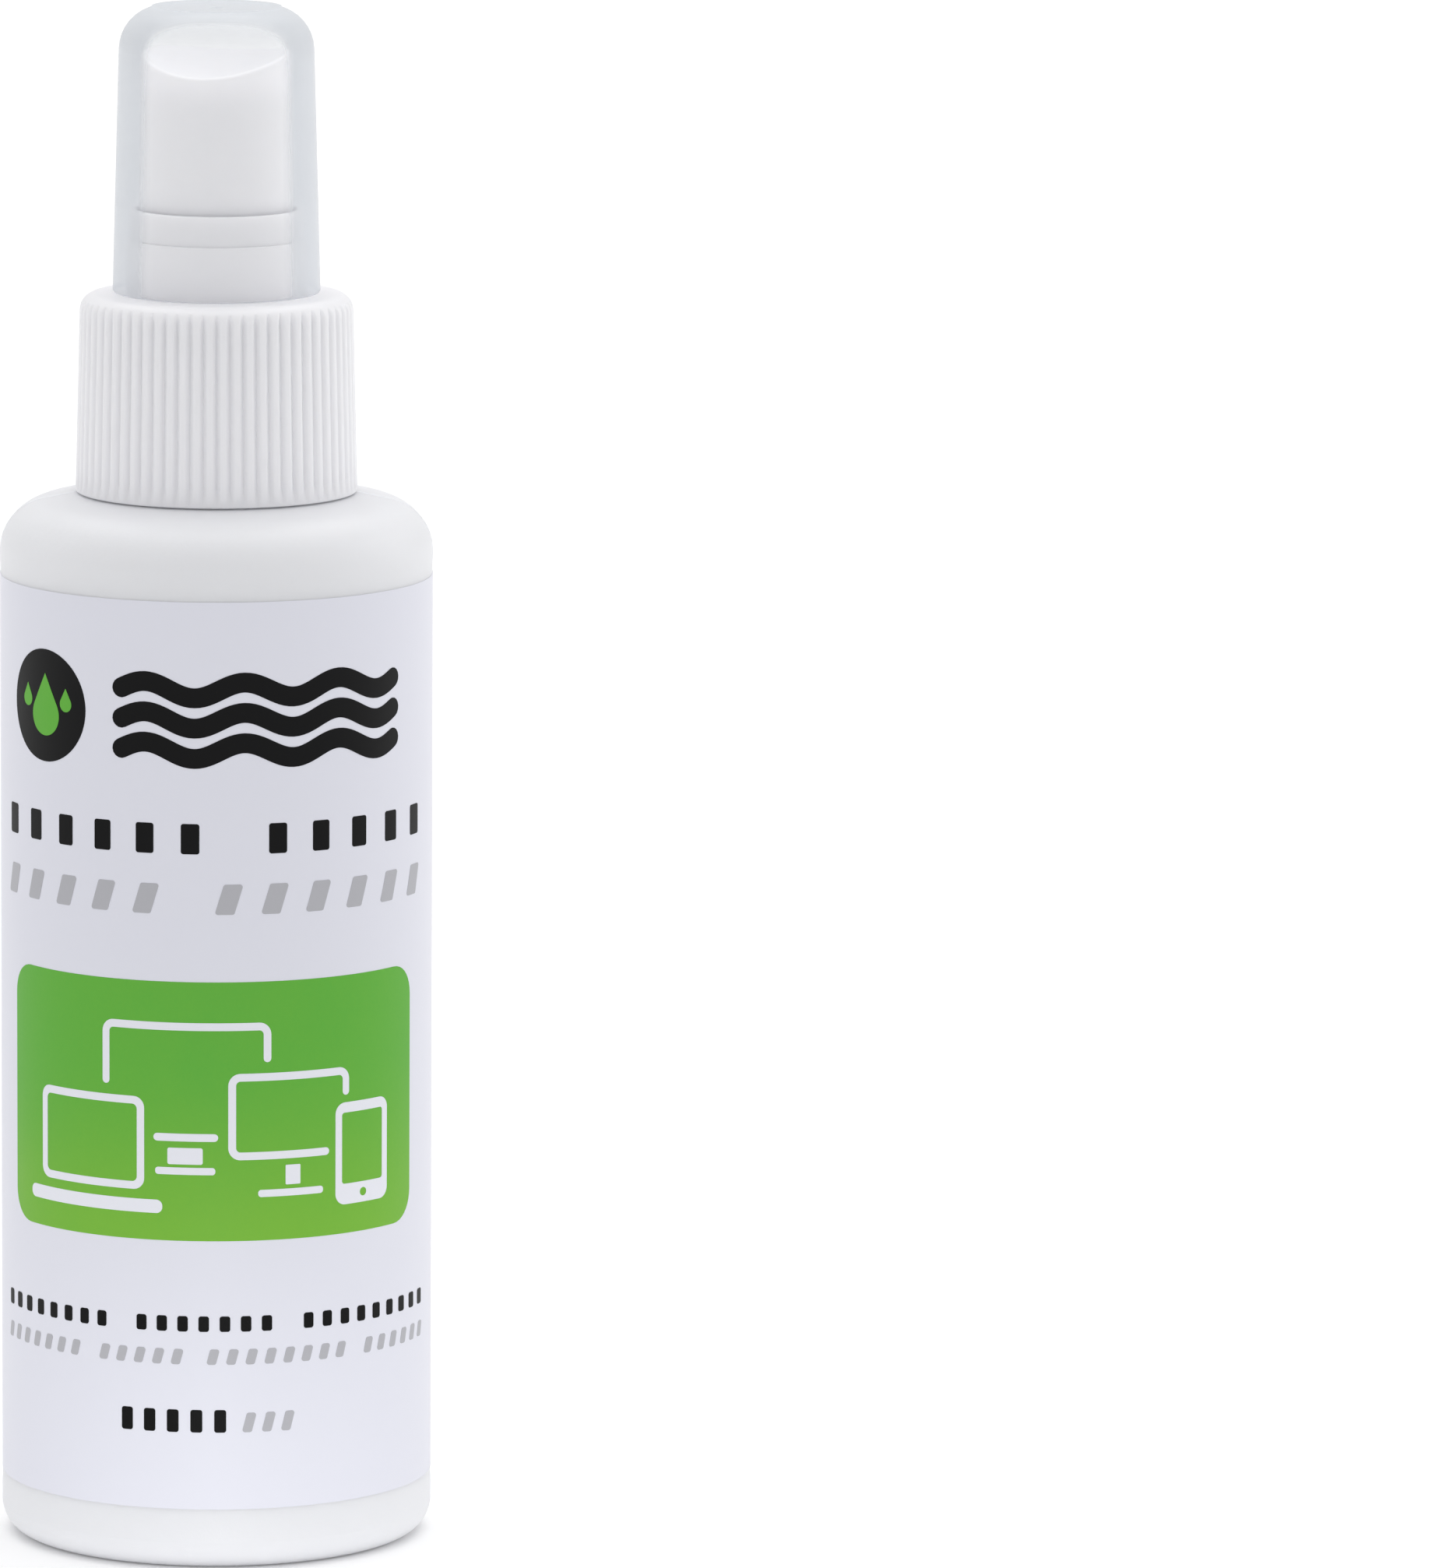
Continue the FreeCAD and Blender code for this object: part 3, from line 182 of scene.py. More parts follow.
def clean(mesh):
    """Outward faces, smooth shading and crisp edges where the surface breaks."""
    shape = bmesh.new()
    shape.from_mesh(mesh)
    bmesh.ops.recalc_face_normals(shape, faces=shape.faces)
    shape.to_mesh(mesh)
    shape.free()
    mesh.shade_smooth()
    mesh.set_sharp_from_angle(angle=SHARP)
    return mesh


def around(radius, angle, up):
    """Point in metres at a radius, an angle and a height about the bottle's axis."""
    return (radius * MM * math.cos(angle), radius * MM * math.sin(angle), up * MM)


def turned_mesh(name, outline, steps):
    """Mesh turned about the bottle's axis from an outline that begins and ends on it."""
    shape = bmesh.new()
    turns = [FULL_TURN * step / steps for step in range(steps)]
    rings = []
    for across, up in outline:
        if across < AXIS_REACH:
            rings.append([shape.verts.new((0, 0, up * MM))])
        else:
            rings.append([shape.verts.new(around(across, t, up)) for t in turns])
    for first, second in zip(rings, rings[1:]):
        for step in range(steps):
            following = (step + 1) % steps
            corners = [
                first[step % len(first)],
                first[following % len(first)],
                second[following % len(second)],
                second[step % len(second)],
            ]
            shape.faces.new(dict.fromkeys(corners))
    return clean(mesh_of(shape, name))


def swept(rows):
    """Closed ridge through rows of points in metres, each row once round the ridge's section."""
    shape = bmesh.new()
    rings = [[shape.verts.new(point) for point in row] for row in rows]
    for first, second in zip(rings, rings[1:]):
        for k in range(len(first)):
            near = (k + 1) % len(first)
            shape.faces.new((first[k], first[near], second[near], second[k]))
    shape.faces.new(rings[0][::-1])
    shape.faces.new(rings[-1])
    return shape


def show(name, mesh, material, body, stands_for=()):
    """Puts a finished mesh in the scene as a piece that rides on its body."""
    mesh.materials.clear()
    mesh.materials.append(material)
    made = bpy.data.objects.new(name, mesh)
    scene.collection.objects.link(made)
    if stands_for:
        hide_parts(*stands_for)
    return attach(made, body)


# ---------------------------------------------------------------- node trees

SCATTER_RATIO = (1.0, 0.97, 0.93)  # how far red, green and blue travel in a white plastic

# sockets of a Mix node that share a title, by place: first and second input, and the output
FLOAT_FIRST, FLOAT_SECOND, FLOAT_MIXED = 2, 3, 0
COLOUR_FIRST, COLOUR_SECOND, COLOUR_MIXED = 6, 7, 2


def add(tree, kind, sockets=None, **settings):
    """A node with its settings, its inputs set to values or joined to other nodes' outputs."""
    made = tree.nodes.new(kind)
    made.location = (190 * (len(tree.nodes) % 8), -260 * (len(tree.nodes) // 8))
    for field, value in settings.items():
        setattr(made, field, value)
    for key, value in (sockets or {}).items():
        if isinstance(value, bpy.types.NodeSocket):
            tree.links.new(value, made.inputs[key])
        else:
            made.inputs[key].default_value = value
    return made


def sums(tree, operation, *values):
    """Output of a Math node."""
    return add(tree, "ShaderNodeMath", dict(enumerate(values)), operation=operation).outputs[0]


def spread(tree, value, low, high):
    """Takes a value from 0 to 1 to the range from low to high."""
    return add(tree, "ShaderNodeMapRange", {"Value": value, "To Min": low, "To Max": high}).outputs[0]


def new_group(name, kind, inputs, outputs):
    """An empty node group with named inputs (name, socket type, default) and outputs (name, socket type)."""
    tree = bpy.data.node_groups.new(name, kind)
    for title, socket, default in inputs:
        made = tree.interface.new_socket(title, in_out="INPUT", socket_type=socket)
        if default is not None:
            made.default_value = default
    for title, socket in outputs:
        tree.interface.new_socket(title, in_out="OUTPUT", socket_type=socket)
    return tree, tree.nodes.new("NodeGroupInput").outputs, tree.nodes.new("NodeGroupOutput")


def noise(tree, place, scale, detail=2.0, roughness=0.5):
    """Value of a Noise Texture at a place."""
    sockets = {"Vector": place, "Scale": scale, "Detail": detail, "Roughness": roughness}
    return add(tree, "ShaderNodeTexNoise", sockets).outputs["Fac"]


def moulded_skin_group():
    """Fine grain of a moulded or blown plastic wall over its slow waviness, and a mask of its tone."""
    inputs = [
        ("Grain Size", "NodeSocketFloat", 0.3),
        ("Wave Size", "NodeSocketFloat", 6.0),
        ("Wave Share", "NodeSocketFloat", 0.5),
    ]
    outputs = [("Height", "NodeSocketFloat"), ("Grain", "NodeSocketFloat"), ("Tone", "NodeSocketFloat")]
    tree, given, out = new_group("moulded_skin", "ShaderNodeTree", inputs, outputs)
    place = add(tree, "ShaderNodeTexCoord").outputs["Object"]
    per_grain = sums(tree, "DIVIDE", 1 / MM, given["Grain Size"])
    per_wave = sums(tree, "DIVIDE", 1 / MM, given["Wave Size"])
    grain = noise(tree, place, per_grain, 3.0, 0.6)
    wave = noise(tree, place, per_wave, 1.0)
    tone = noise(tree, place, sums(tree, "MULTIPLY", per_wave, 0.35), 3.0)
    height = add(
        tree,
        "ShaderNodeMix",
        {"Factor": given["Wave Share"], FLOAT_FIRST: grain, FLOAT_SECOND: wave},
        data_type="FLOAT",
    ).outputs[FLOAT_MIXED]
    tree.links.new(height, out.inputs["Height"])
    tree.links.new(grain, out.inputs["Grain"])
    tree.links.new(tone, out.inputs["Tone"])
    return tree


def depth_and_light_group():
    """Mask that runs from 0 to 1 between two heights, broken up a little: for a wall that thickens, and on
    the green ink for painted light that makes it lighter low down.
    """
    inputs = [
        ("Low", "NodeSocketFloat", 0.0),
        ("High", "NodeSocketFloat", 100.0),
        ("Break Up", "NodeSocketFloat", 0.1),
    ]
    tree, given, out = new_group("wall_depth", "ShaderNodeTree", inputs, [("Mask", "NodeSocketFloat")])
    place = add(tree, "ShaderNodeTexCoord").outputs["Object"]
    height = add(tree, "ShaderNodeSeparateXYZ", {0: place}).outputs["Z"]
    in_mm = sums(tree, "DIVIDE", height, MM)
    run = add(
        tree,
        "ShaderNodeMapRange",
        {"Value": in_mm, "From Min": given["Low"], "From Max": given["High"]},
        interpolation_type="SMOOTHSTEP",
    ).outputs[0]
    patches = sums(tree, "SUBTRACT", noise(tree, place, 0.12 / MM, 3.0), 0.5)
    broken = sums(tree, "ADD", run, sums(tree, "MULTIPLY", patches, given["Break Up"]))
    mask = add(tree, "ShaderNodeClamp", {0: broken}).outputs[0]
    tree.links.new(mask, out.inputs["Mask"])
    return tree


def handling_marks_group():
    """Sparse hairlines and smudges left by hands and packing."""
    inputs = [("Amount", "NodeSocketFloat", 0.3)]
    outputs = [("Smudge", "NodeSocketFloat"), ("Hairline", "NodeSocketFloat")]
    tree, given, out = new_group("handling_marks", "ShaderNodeTree", inputs, outputs)
    place = add(tree, "ShaderNodeTexCoord").outputs["Object"]
    patches = noise(tree, place, 0.09 / MM, 4.0, 0.65)
    smudge = add(
        tree, "ShaderNodeMapRange", {"Value": patches, "From Min": 0.45, "From Max": 0.75}
    ).outputs[0]
    stretched = add(
        tree,
        "ShaderNodeMapping",
        {"Vector": place, "Rotation": (0.4, 0.9, 0.3), "Scale": (1.0, 1.0, 0.04)},
    ).outputs[0]
    lines = noise(tree, stretched, 2.2 / MM, 1.0)
    hairline = add(
        tree, "ShaderNodeMapRange", {"Value": lines, "From Min": 0.7, "From Max": 0.78}
    ).outputs[0]
    seen = sums(tree, "MULTIPLY", hairline, smudge)
    for title, mask in (("Smudge", smudge), ("Hairline", seen)):
        tree.links.new(sums(tree, "MULTIPLY", mask, given["Amount"]), out.inputs[title])
    return tree


def film_ripple_group():
    """Height of a thin film stuck round a bottle: slow ripples and small trapped bubbles."""
    inputs = [("Bubbles", "NodeSocketFloat", 0.4)]
    outputs = [("Height", "NodeSocketFloat"), ("Mottle", "NodeSocketFloat")]
    tree, given, out = new_group("film_ripple", "ShaderNodeTree", inputs, outputs)
    place = add(tree, "ShaderNodeTexCoord").outputs["Object"]
    ripple = noise(tree, place, 0.07 / MM, 1.0)
    cells = add(tree, "ShaderNodeTexVoronoi", {"Vector": place, "Scale": 0.16 / MM}).outputs["Distance"]
    bubble = add(
        tree,
        "ShaderNodeMapRange",
        {"Value": cells, "From Min": 0.0, "From Max": 0.12, "To Min": 1.0, "To Max": 0.0},
    ).outputs[0]
    height = sums(tree, "ADD", ripple, sums(tree, "MULTIPLY", bubble, given["Bubbles"]))
    tree.links.new(height, out.inputs["Height"])
    tree.links.new(noise(tree, place, 3.0 / MM, 4.0, 0.7), out.inputs["Mottle"])
    return tree


GROUPS = {
    "skin": moulded_skin_group(),
    "depth": depth_and_light_group(),
    "marks": handling_marks_group(),
    "film": film_ripple_group(),
}


def use(tree, group, **values):
    """One of the shared groups, placed with its own values, as its outputs."""
    sockets = {name.replace("_", " ").title(): value for name, value in values.items()}
    return add(tree, "ShaderNodeGroup", sockets, node_tree=GROUPS[group]).outputs


def mixed(tree, mask, first, second):
    """Colour that goes from the first to the second as the mask goes from 0 to 1."""
    sockets = {"Factor": mask, COLOUR_FIRST: (*first, 1), COLOUR_SECOND: (*second, 1)}
    return add(tree, "ShaderNodeMix", sockets, data_type="RGBA").outputs[COLOUR_MIXED]


def relief(tree, height, depth_mm):
    """Normal of a surface whose height goes up and down by a depth."""
    sockets = {"Height": height, "Distance": depth_mm * MM, "Strength": 1.0}
    return add(tree, "ShaderNodeBump", sockets).outputs["Normal"]


def finish_on(name, **plain):
    """A material with its Principled shader, whose plain sockets take the values given."""
    made = bpy.data.materials.new(name)
    made.use_nodes = True
    shader = made.node_tree.nodes["Principled BSDF"]
    for title, value in plain.items():
        shader.inputs[title.replace("_", " ")].default_value = value
    return made, made.node_tree, shader.inputs


def join(tree, sockets, **links):
    """Joins outputs to the shader's sockets of those titles."""
    for title, source in links.items():
        tree.links.new(source, sockets[title.replace("_", " ")])


def weighed(tree, *masks):
    """Sum of masks, each given with its weight."""
    total = None
    for mask, weight in masks:
        part = sums(tree, "MULTIPLY", mask, weight)
        total = part if total is None else sums(tree, "ADD", total, part)
    return total


def gloss_of(tree, mask, low, high, smudge, dulled):
    """Roughness that goes from low to high with a mask, and rises where the surface is smudged."""
    return sums(tree, "ADD", spread(tree, mask, low, high), sums(tree, "MULTIPLY", smudge, dulled))


def moulded_plastic(name, light, deep, rough, grain, wave, relief_mm, low, high, **plain):
    """Moulded plastic: tone that shifts with the wall's depth, grain, and faint marks of handling."""
    made, tree, sockets = finish_on(name, Subsurface_Radius=SCATTER_RATIO, **plain)
    skin = use(tree, "skin", grain_size=grain, wave_size=wave, wave_share=0.45)
    depth = use(tree, "depth", low=low, high=high, break_up=0.5)
    worn = use(tree, "marks", amount=0.3)
    shade = weighed(tree, (depth["Mask"], 0.6), (skin["Tone"], 0.4))
    gloss = gloss_of(tree, skin["Grain"], rough - 0.05, rough + 0.05, worn["Smudge"], 0.12)
    height = sums(tree, "SUBTRACT", skin["Height"], sums(tree, "MULTIPLY", worn["Hairline"], 0.4))
    join(
        tree,
        sockets,
        Base_Color=mixed(tree, shade, light, deep),
        Roughness=gloss,
        Normal=relief(tree, height, relief_mm),
    )
    return made


FILM_RIPPLE = 0.03


def printed_film(name, colour, second_tone, rough, shine=0.35, run=(0, 200)):
    """Label film, bare or inked: ripples of the film under a fine mottle of its ink.

    The ink runs from one tone to the other between two heights; on the green ink this is painted light:
    lighter and yellower low down, where more light falls, and darker above.
    """
    made, tree, sockets = finish_on(name, IOR=1.5, Specular_IOR_Level=shine)
    film = use(tree, "film", bubbles=0.35)
    worn = use(tree, "marks", amount=0.35)
    # tone that changes between the run's two heights: on the green ink this is painted light, lighter and
    # yellower low down
    rise = use(tree, "depth", low=run[0], high=run[1], break_up=0.1)["Mask"]
    shade = weighed(tree, (rise, 0.7), (film["Mottle"], 0.3), (worn["Smudge"], 0.3))
    gloss = gloss_of(tree, film["Mottle"], rough - 0.06, rough + 0.06, worn["Smudge"], 0.1)
    join(
        tree,
        sockets,
        Base_Color=mixed(tree, shade, colour, second_tone),
        Roughness=gloss,
        Normal=relief(tree, film["Height"], FILM_RIPPLE),
    )
    return made


OUTSIDE = "outside"  # point attribute, 1 on the hood's outer surface
DOME_DEPTH = 7  # how far down from its top the hood is hazier


def hazy_clear(name):
    """Clarified plastic: a thin haze over what stands behind it, thicker where the wall is seen edge on."""
    made, tree, sockets = finish_on(name, IOR=1.49, Specular_IOR_Level=0.15)
    skin = use(tree, "skin", grain_size=0.5, wave_size=9.0, wave_share=0.7)
    depth = use(tree, "depth", low=level("hood", 1) - DOME_DEPTH, high=level("hood", 1), break_up=0.15)
    worn = use(tree, "marks", amount=0.5)
    edge_on = add(tree, "ShaderNodeLayerWeight", {"Blend": 0.35}).outputs["Facing"]
    thick = add(
        tree,
        "ShaderNodeMapRange",
        {"Value": edge_on, "From Min": 0.17, "From Max": 0.28, "To Min": 0.02, "To Max": 0.5},
        interpolation_type="SMOOTHSTEP",
    ).outputs[0]
    outside = add(tree, "ShaderNodeAttribute", attribute_name=OUTSIDE).outputs["Fac"]
    walls = sums(tree, "ADD", sums(tree, "MULTIPLY", thick, outside), 0.04)
    haze = sums(tree, "ADD", walls, sums(tree, "MULTIPLY", depth["Mask"], 0.24))
    hazed = sums(tree, "ADD", haze, sums(tree, "MULTIPLY", worn["Smudge"], 0.03))
    gloss = gloss_of(tree, skin["Grain"], 0.26, 0.34, worn["Smudge"], 0.08)
    join(
        tree,
        sockets,
        Base_Color=mixed(tree, depth["Mask"], (0.59, 0.62, 0.665), (0.67, 0.695, 0.73)),
        Roughness=gloss,
        Alpha=hazed,
        Normal=relief(tree, skin["Height"], 0.012),
    )
    return made


def drawn_metal(name, colour, dull, rough):
    """Bright wire or ball: fine drawing lines and a slow change of its brightness."""
    made, tree, sockets = finish_on(name, Metallic=1.0)
    skin = use(tree, "skin", grain_size=0.06, wave_size=1.2, wave_share=0.3)
    worn = use(tree, "marks", amount=0.4)
    join(
        tree,
        sockets,
        Base_Color=mixed(tree, skin["Tone"], colour, dull),
        Roughness=sums(tree, "ADD", spread(tree, skin["Grain"], rough, rough + 0.12), worn["Smudge"]),
        Normal=relief(tree, skin["Height"], 0.004),
    )
    return made


FILM_WHITE = (0.725, 0.73, 0.805)
MATERIALS = {
    "bottle": moulded_plastic(
        "blown_white_polyethylene", (0.85, 0.855, 0.89), (0.865, 0.868, 0.9),
        rough=0.42, grain=0.35, wave=7.0, relief_mm=0.02, low=60, high=100,
        IOR=1.51, Subsurface_Weight=0.5, Subsurface_Scale=0.004,
    ),
    "mould_line": moulded_plastic(
        "mould_line_polyethylene", (0.86, 0.865, 0.9), (0.875, 0.878, 0.91),
        rough=0.42, grain=0.35, wave=7.0, relief_mm=0.02, low=60, high=100, IOR=1.51,
    ),
    "white_plastic": moulded_plastic(
        "moulded_white_polypropylene", (0.875, 0.87, 0.905), (0.885, 0.88, 0.91),
        rough=0.36, grain=0.28, wave=9.0, relief_mm=0.012, low=100, high=145,
        IOR=1.49, Subsurface_Weight=0.5, Subsurface_Scale=0.0025,
    ),
    "natural_plastic": moulded_plastic(
        "natural_polypropylene", (0.78, 0.79, 0.78), (0.7, 0.72, 0.72),
        rough=0.38, grain=0.3, wave=5.0, relief_mm=0.012, low=80, high=125,
        IOR=1.49, Subsurface_Weight=0.3, Subsurface_Scale=0.0015,
    ),
    "piston_plastic": moulded_plastic(
        "waxy_polyethylene", (0.84, 0.84, 0.81), (0.8, 0.8, 0.77),
        rough=0.5, grain=0.25, wave=3.0, relief_mm=0.01, low=107, high=113,
        IOR=1.51, Subsurface_Weight=0.3, Subsurface_Scale=0.001,
    ),
    "tube_plastic": moulded_plastic(
        "drawn_polyethylene_tube", (0.78, 0.8, 0.81), (0.7, 0.73, 0.74),
        rough=0.34, grain=0.4, wave=12.0, relief_mm=0.02, low=0, high=90,
        IOR=1.51, Subsurface_Weight=0.4, Subsurface_Scale=0.002,
    ),
    "insert_plastic": moulded_plastic(
        "white_acetal", (0.85, 0.85, 0.84), (0.82, 0.82, 0.8),
        rough=0.3, grain=0.2, wave=2.0, relief_mm=0.008, low=134, high=140, IOR=1.48,
    ),
    "foam": moulded_plastic(
        "pressed_foam", (0.78, 0.78, 0.75), (0.7, 0.7, 0.67),
        rough=0.78, grain=0.22, wave=1.5, relief_mm=0.06, low=116, high=118, IOR=1.45,
    ),
    "rubber": moulded_plastic(
        "nitrile_rubber", (0.022, 0.022, 0.023), (0.035, 0.034, 0.034),
        rough=0.62, grain=0.2, wave=2.0, relief_mm=0.02, low=118, high=120, IOR=1.52,
    ),
    "hood": hazy_clear("clear_polypropylene"),
    "wire": drawn_metal("spring_wire", (0.62, 0.62, 0.63), (0.5, 0.5, 0.5), 0.24),
    "ball": drawn_metal("polished_ball", (0.72, 0.72, 0.73), (0.66, 0.66, 0.67), 0.08),
    "film": printed_film("label_film_white", FILM_WHITE, (0.715, 0.72, 0.79), rough=0.36),
    "black_ink": printed_film(
        "black_ink", (0.002, 0.002, 0.002), (0.006, 0.006, 0.007), rough=0.42, shine=0.12
    ),
    "grey_ink": printed_film("grey_ink", (0.42, 0.42, 0.45), (0.46, 0.46, 0.49), rough=0.4, shine=0.2),
    # painted light: the green panel is painted lighter and yellower low down and darker above, as light
    # falls on it
    "green_ink": printed_film(
        "green_ink", (0.195, 0.46, 0.044), (0.108, 0.41, 0.048), rough=0.42, shine=0.15, run=(31, 50)
    ),
    "white_ink": printed_film("white_ink", (0.78, 0.79, 0.85), (0.76, 0.77, 0.83), rough=0.38, shine=0.2),
}

CAD_FINISHES = {
    "bottle": "bottle",
    "neck_gasket": "foam",
    "pump_housing": "natural_plastic",
    "dip_tube": "tube_plastic",
    "inlet_ball": "ball",
    "piston": "piston_plastic",
    "valve_rod": "natural_plastic",
    "stem": "white_plastic",
    "stem_gasket": "rubber",
    "turret": "natural_plastic",
    "spray_head": "white_plastic",
    "nozzle_insert": "insert_plastic",
}
for node, finish in CAD_FINISHES.items():
    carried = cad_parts[node]
    carried.data.materials.clear()
    carried.data.materials.append(MATERIALS[finish])


# ---------------------------------------------------------------- geometry node trees


def geometry_group(name, inputs):
    """An empty geometry tree that also takes a material, and gives one geometry."""
    shared = [("Material", "NodeSocketMaterial", None)]
    return new_group(name, "GeometryNodeTree", inputs + shared, [("Geometry", "NodeSocketGeometry")])


def last_steps(tree, given, out, geometry):
    """Realize Instances, smooth shading and the material, at the end of a tree."""
    realized = add(tree, "GeometryNodeRealizeInstances", {0: geometry}).outputs[0]
    merged = add(tree, "GeometryNodeMergeByDistance", {"Geometry": realized, "Distance": 0.001 * MM})
    smooth = add(tree, "GeometryNodeSetShadeSmooth", {0: merged.outputs[0]}).outputs[0]
    done = add(tree, "GeometryNodeSetMaterial", {0: smooth, "Material": given["Material"]}).outputs[0]
    tree.links.new(done, out.inputs[0])


def ring_of_ribs_tree():
    """Repeats one rib's slice of the closure round its axis and welds the slices together."""
    inputs = [("Slice", "NodeSocketGeometry", None), ("Ribs", "NodeSocketInt", 64)]
    tree, given, out = geometry_group("ring_of_ribs", inputs)
    points = add(tree, "GeometryNodePoints", {"Count": given["Ribs"]}).outputs[0]
    index = add(tree, "GeometryNodeInputIndex").outputs[0]
    angle = sums(tree, "MULTIPLY", index, sums(tree, "DIVIDE", FULL_TURN, given["Ribs"]))
    turn = add(tree, "FunctionNodeAxisAngleToRotation", {"Axis": (0, 0, 1), "Angle": angle}).outputs[0]
    ring = add(
        tree,
        "GeometryNodeInstanceOnPoints",
        {"Points": points, "Instance": given["Slice"], "Rotation": turn},
    ).outputs[0]
    last_steps(tree, given, out, ring)
    return tree


def coil_spring_tree():
    """A wire wound round the axis, its end turns closed up and the turns between them evenly open."""
    inputs = [
        ("Mean Radius", "NodeSocketFloat", 0.002),
        ("Wire Radius", "NodeSocketFloat", 0.0002),
        ("Bottom", "NodeSocketFloat", 0.0),
        ("Closed Pitch", "NodeSocketFloat", 0.0005),
        ("Open Pitch", "NodeSocketFloat", 0.002),
        ("Open Turns", "NodeSocketFloat", 6.0),
        ("Steps", "NodeSocketInt", 200),
    ]
    tree, given, out = geometry_group("coil_spring", inputs)
    turns = sums(tree, "ADD", given["Open Turns"], 2.0)
    line = add(tree, "GeometryNodeCurvePrimitiveLine").outputs[0]
    points = add(
        tree, "GeometryNodeResampleCurve", {"Curve": line, "Count": given["Steps"]}
    ).outputs[0]
    share = add(tree, "GeometryNodeSplineParameter").outputs["Factor"]
    turn = sums(tree, "MULTIPLY", share, turns)
    angle = sums(tree, "MULTIPLY", turn, FULL_TURN)
    across = sums(tree, "MULTIPLY", sums(tree, "COSINE", angle), given["Mean Radius"])
    along = sums(tree, "MULTIPLY", sums(tree, "SINE", angle), given["Mean Radius"])
    past_first = sums(tree, "MAXIMUM", sums(tree, "SUBTRACT", turn, 1.0), 0.0)
    opened = sums(tree, "MINIMUM", past_first, given["Open Turns"])
    closed = sums(tree, "SUBTRACT", turn, opened)
    rise = sums(
        tree,
        "ADD",
        sums(tree, "MULTIPLY", opened, given["Open Pitch"]),
        sums(tree, "MULTIPLY", closed, given["Closed Pitch"]),
    )
    up = sums(tree, "ADD", rise, given["Bottom"])
    place = add(tree, "ShaderNodeCombineXYZ", {"X": across, "Y": along, "Z": up}).outputs[0]
    helix = add(tree, "GeometryNodeSetPosition", {"Geometry": points, "Position": place}).outputs[0]
    wire = add(
        tree, "GeometryNodeCurvePrimitiveCircle", {"Resolution": 12, "Radius": given["Wire Radius"]}
    ).outputs[0]
    tube = add(
        tree, "GeometryNodeCurveToMesh", {"Curve": helix, "Profile Curve": wire, "Fill Caps": True}
    ).outputs[0]
    last_steps(tree, given, out, tube)
    return tree


def grown(name, tree, seed_mesh, **values):
    """Plain mesh that a geometry tree makes from a seed mesh and the values of its named inputs."""
    seed = bpy.data.objects.new(name, seed_mesh)
    scene.collection.objects.link(seed)
    modifier = seed.modifiers.new(name, "NODES")
    modifier.node_group = tree
    for item in tree.interface.items_tree:
        value = values.get(item.name.replace(" ", "_").lower())
        if item.in_out == "INPUT" and value is not None:
            modifier[item.identifier] = value
    bpy.context.view_layer.update()
    evaluated = seed.evaluated_get(bpy.context.evaluated_depsgraph_get())
    mesh = bpy.data.meshes.new_from_object(evaluated)
    bpy.data.objects.remove(seed)
    return mesh


# ---------------------------------------------------------------- ribbed closure

RIBS = 64
RIB_COLUMNS = (-1, -0.72, -0.55, -0.42, -0.26, 0, 0.26, 0.42, 0.55, 0.72, 1)  # of half a rib's width
GROOVE_WIDTH = 0.72  # of half a rib's width, from a groove's middle to the crest
GROOVE_DEPTH = 0.36
BAND_HEIGHT = 1.45
FOOT_DROP = 0.22  # the skirt's foot slopes down outwards, as the shoulder under it does
SKIRT_WALL = 1.2
SKIRT_TAPER = math.tan(math.radians(1.36))
CLOSURE_CORNER = 1.6
FOOT_ROUNDING = 0.15
BORE_ROUNDING = 0.1
CEILING_ROUNDING = 0.3
COLLAR_FOOT_ROUNDING = 0.12
GROOVE_END = 0.15  # height over which a groove begins above the plain band
GROOVE_RUN = 0.4  # from there the wall is one cone
COLLAR_HEIGHT = 8.2
COLLAR_STEP_HEIGHT = 5.3
COLLAR_FOOT_RADIUS = 8.6
COLLAR_RADIUS = 8.35
COLLAR_BORE = 7.7
COLLAR_ROUNDING = 0.2
CLOSURE_HOLE = 5.2
PLATE_THICKNESS = 1.35
closure_foot = level("screw_closure", 0)
closure_top = level("screw_closure", 1) - COLLAR_HEIGHT
skirt_radius = reach("screw_closure")


def cone_radius(up):
    """Radius of the skirt's crests at a height."""
    return skirt_radius - (up - closure_foot) * SKIRT_TAPER


def closure_outline():
    """Closed outline of the closure, from the foot of its skirt up over the collar and back inside."""
    crest_top = cone_radius(closure_top)
    step = closure_top + COLLAR_STEP_HEIGHT
    collar_top = closure_top + COLLAR_HEIGHT
    plate_low = closure_top - PLATE_THICKNESS
    bore = skirt_radius - SKIRT_WALL
    groove_foot = closure_foot + BAND_HEIGHT
    corners = [
        (skirt_radius, closure_foot - FOOT_DROP, FOOT_ROUNDING),
        (cone_radius(groove_foot), groove_foot, 0),
        (cone_radius(groove_foot), groove_foot + GROOVE_END, 0),
        (cone_radius(groove_foot + GROOVE_RUN), groove_foot + GROOVE_RUN, 0),
        (crest_top, closure_top, CLOSURE_CORNER),
        (COLLAR_FOOT_RADIUS, closure_top, COLLAR_FOOT_ROUNDING),
        (COLLAR_FOOT_RADIUS, step, COLLAR_ROUNDING),
        (COLLAR_RADIUS, step, 0),
        (COLLAR_RADIUS, collar_top, COLLAR_ROUNDING),
        (COLLAR_BORE, collar_top, COLLAR_ROUNDING),
        (COLLAR_BORE, closure_top, BORE_ROUNDING),
        (CLOSURE_HOLE, closure_top, BORE_ROUNDING),
        (CLOSURE_HOLE, plate_low, BORE_ROUNDING),
        (bore, plate_low, CEILING_ROUNDING),
        (bore, closure_foot, FOOT_ROUNDING),
    ]
    return rounded_line(corners, guard=GUARD)


def groove_share(column):
    """How deep the groove is at a column, from 0 on the crest to 1 in its middle."""
    return 0.5 + 0.5 * math.cos(math.pi * min(1.0, abs(column) / GROOVE_WIDTH))


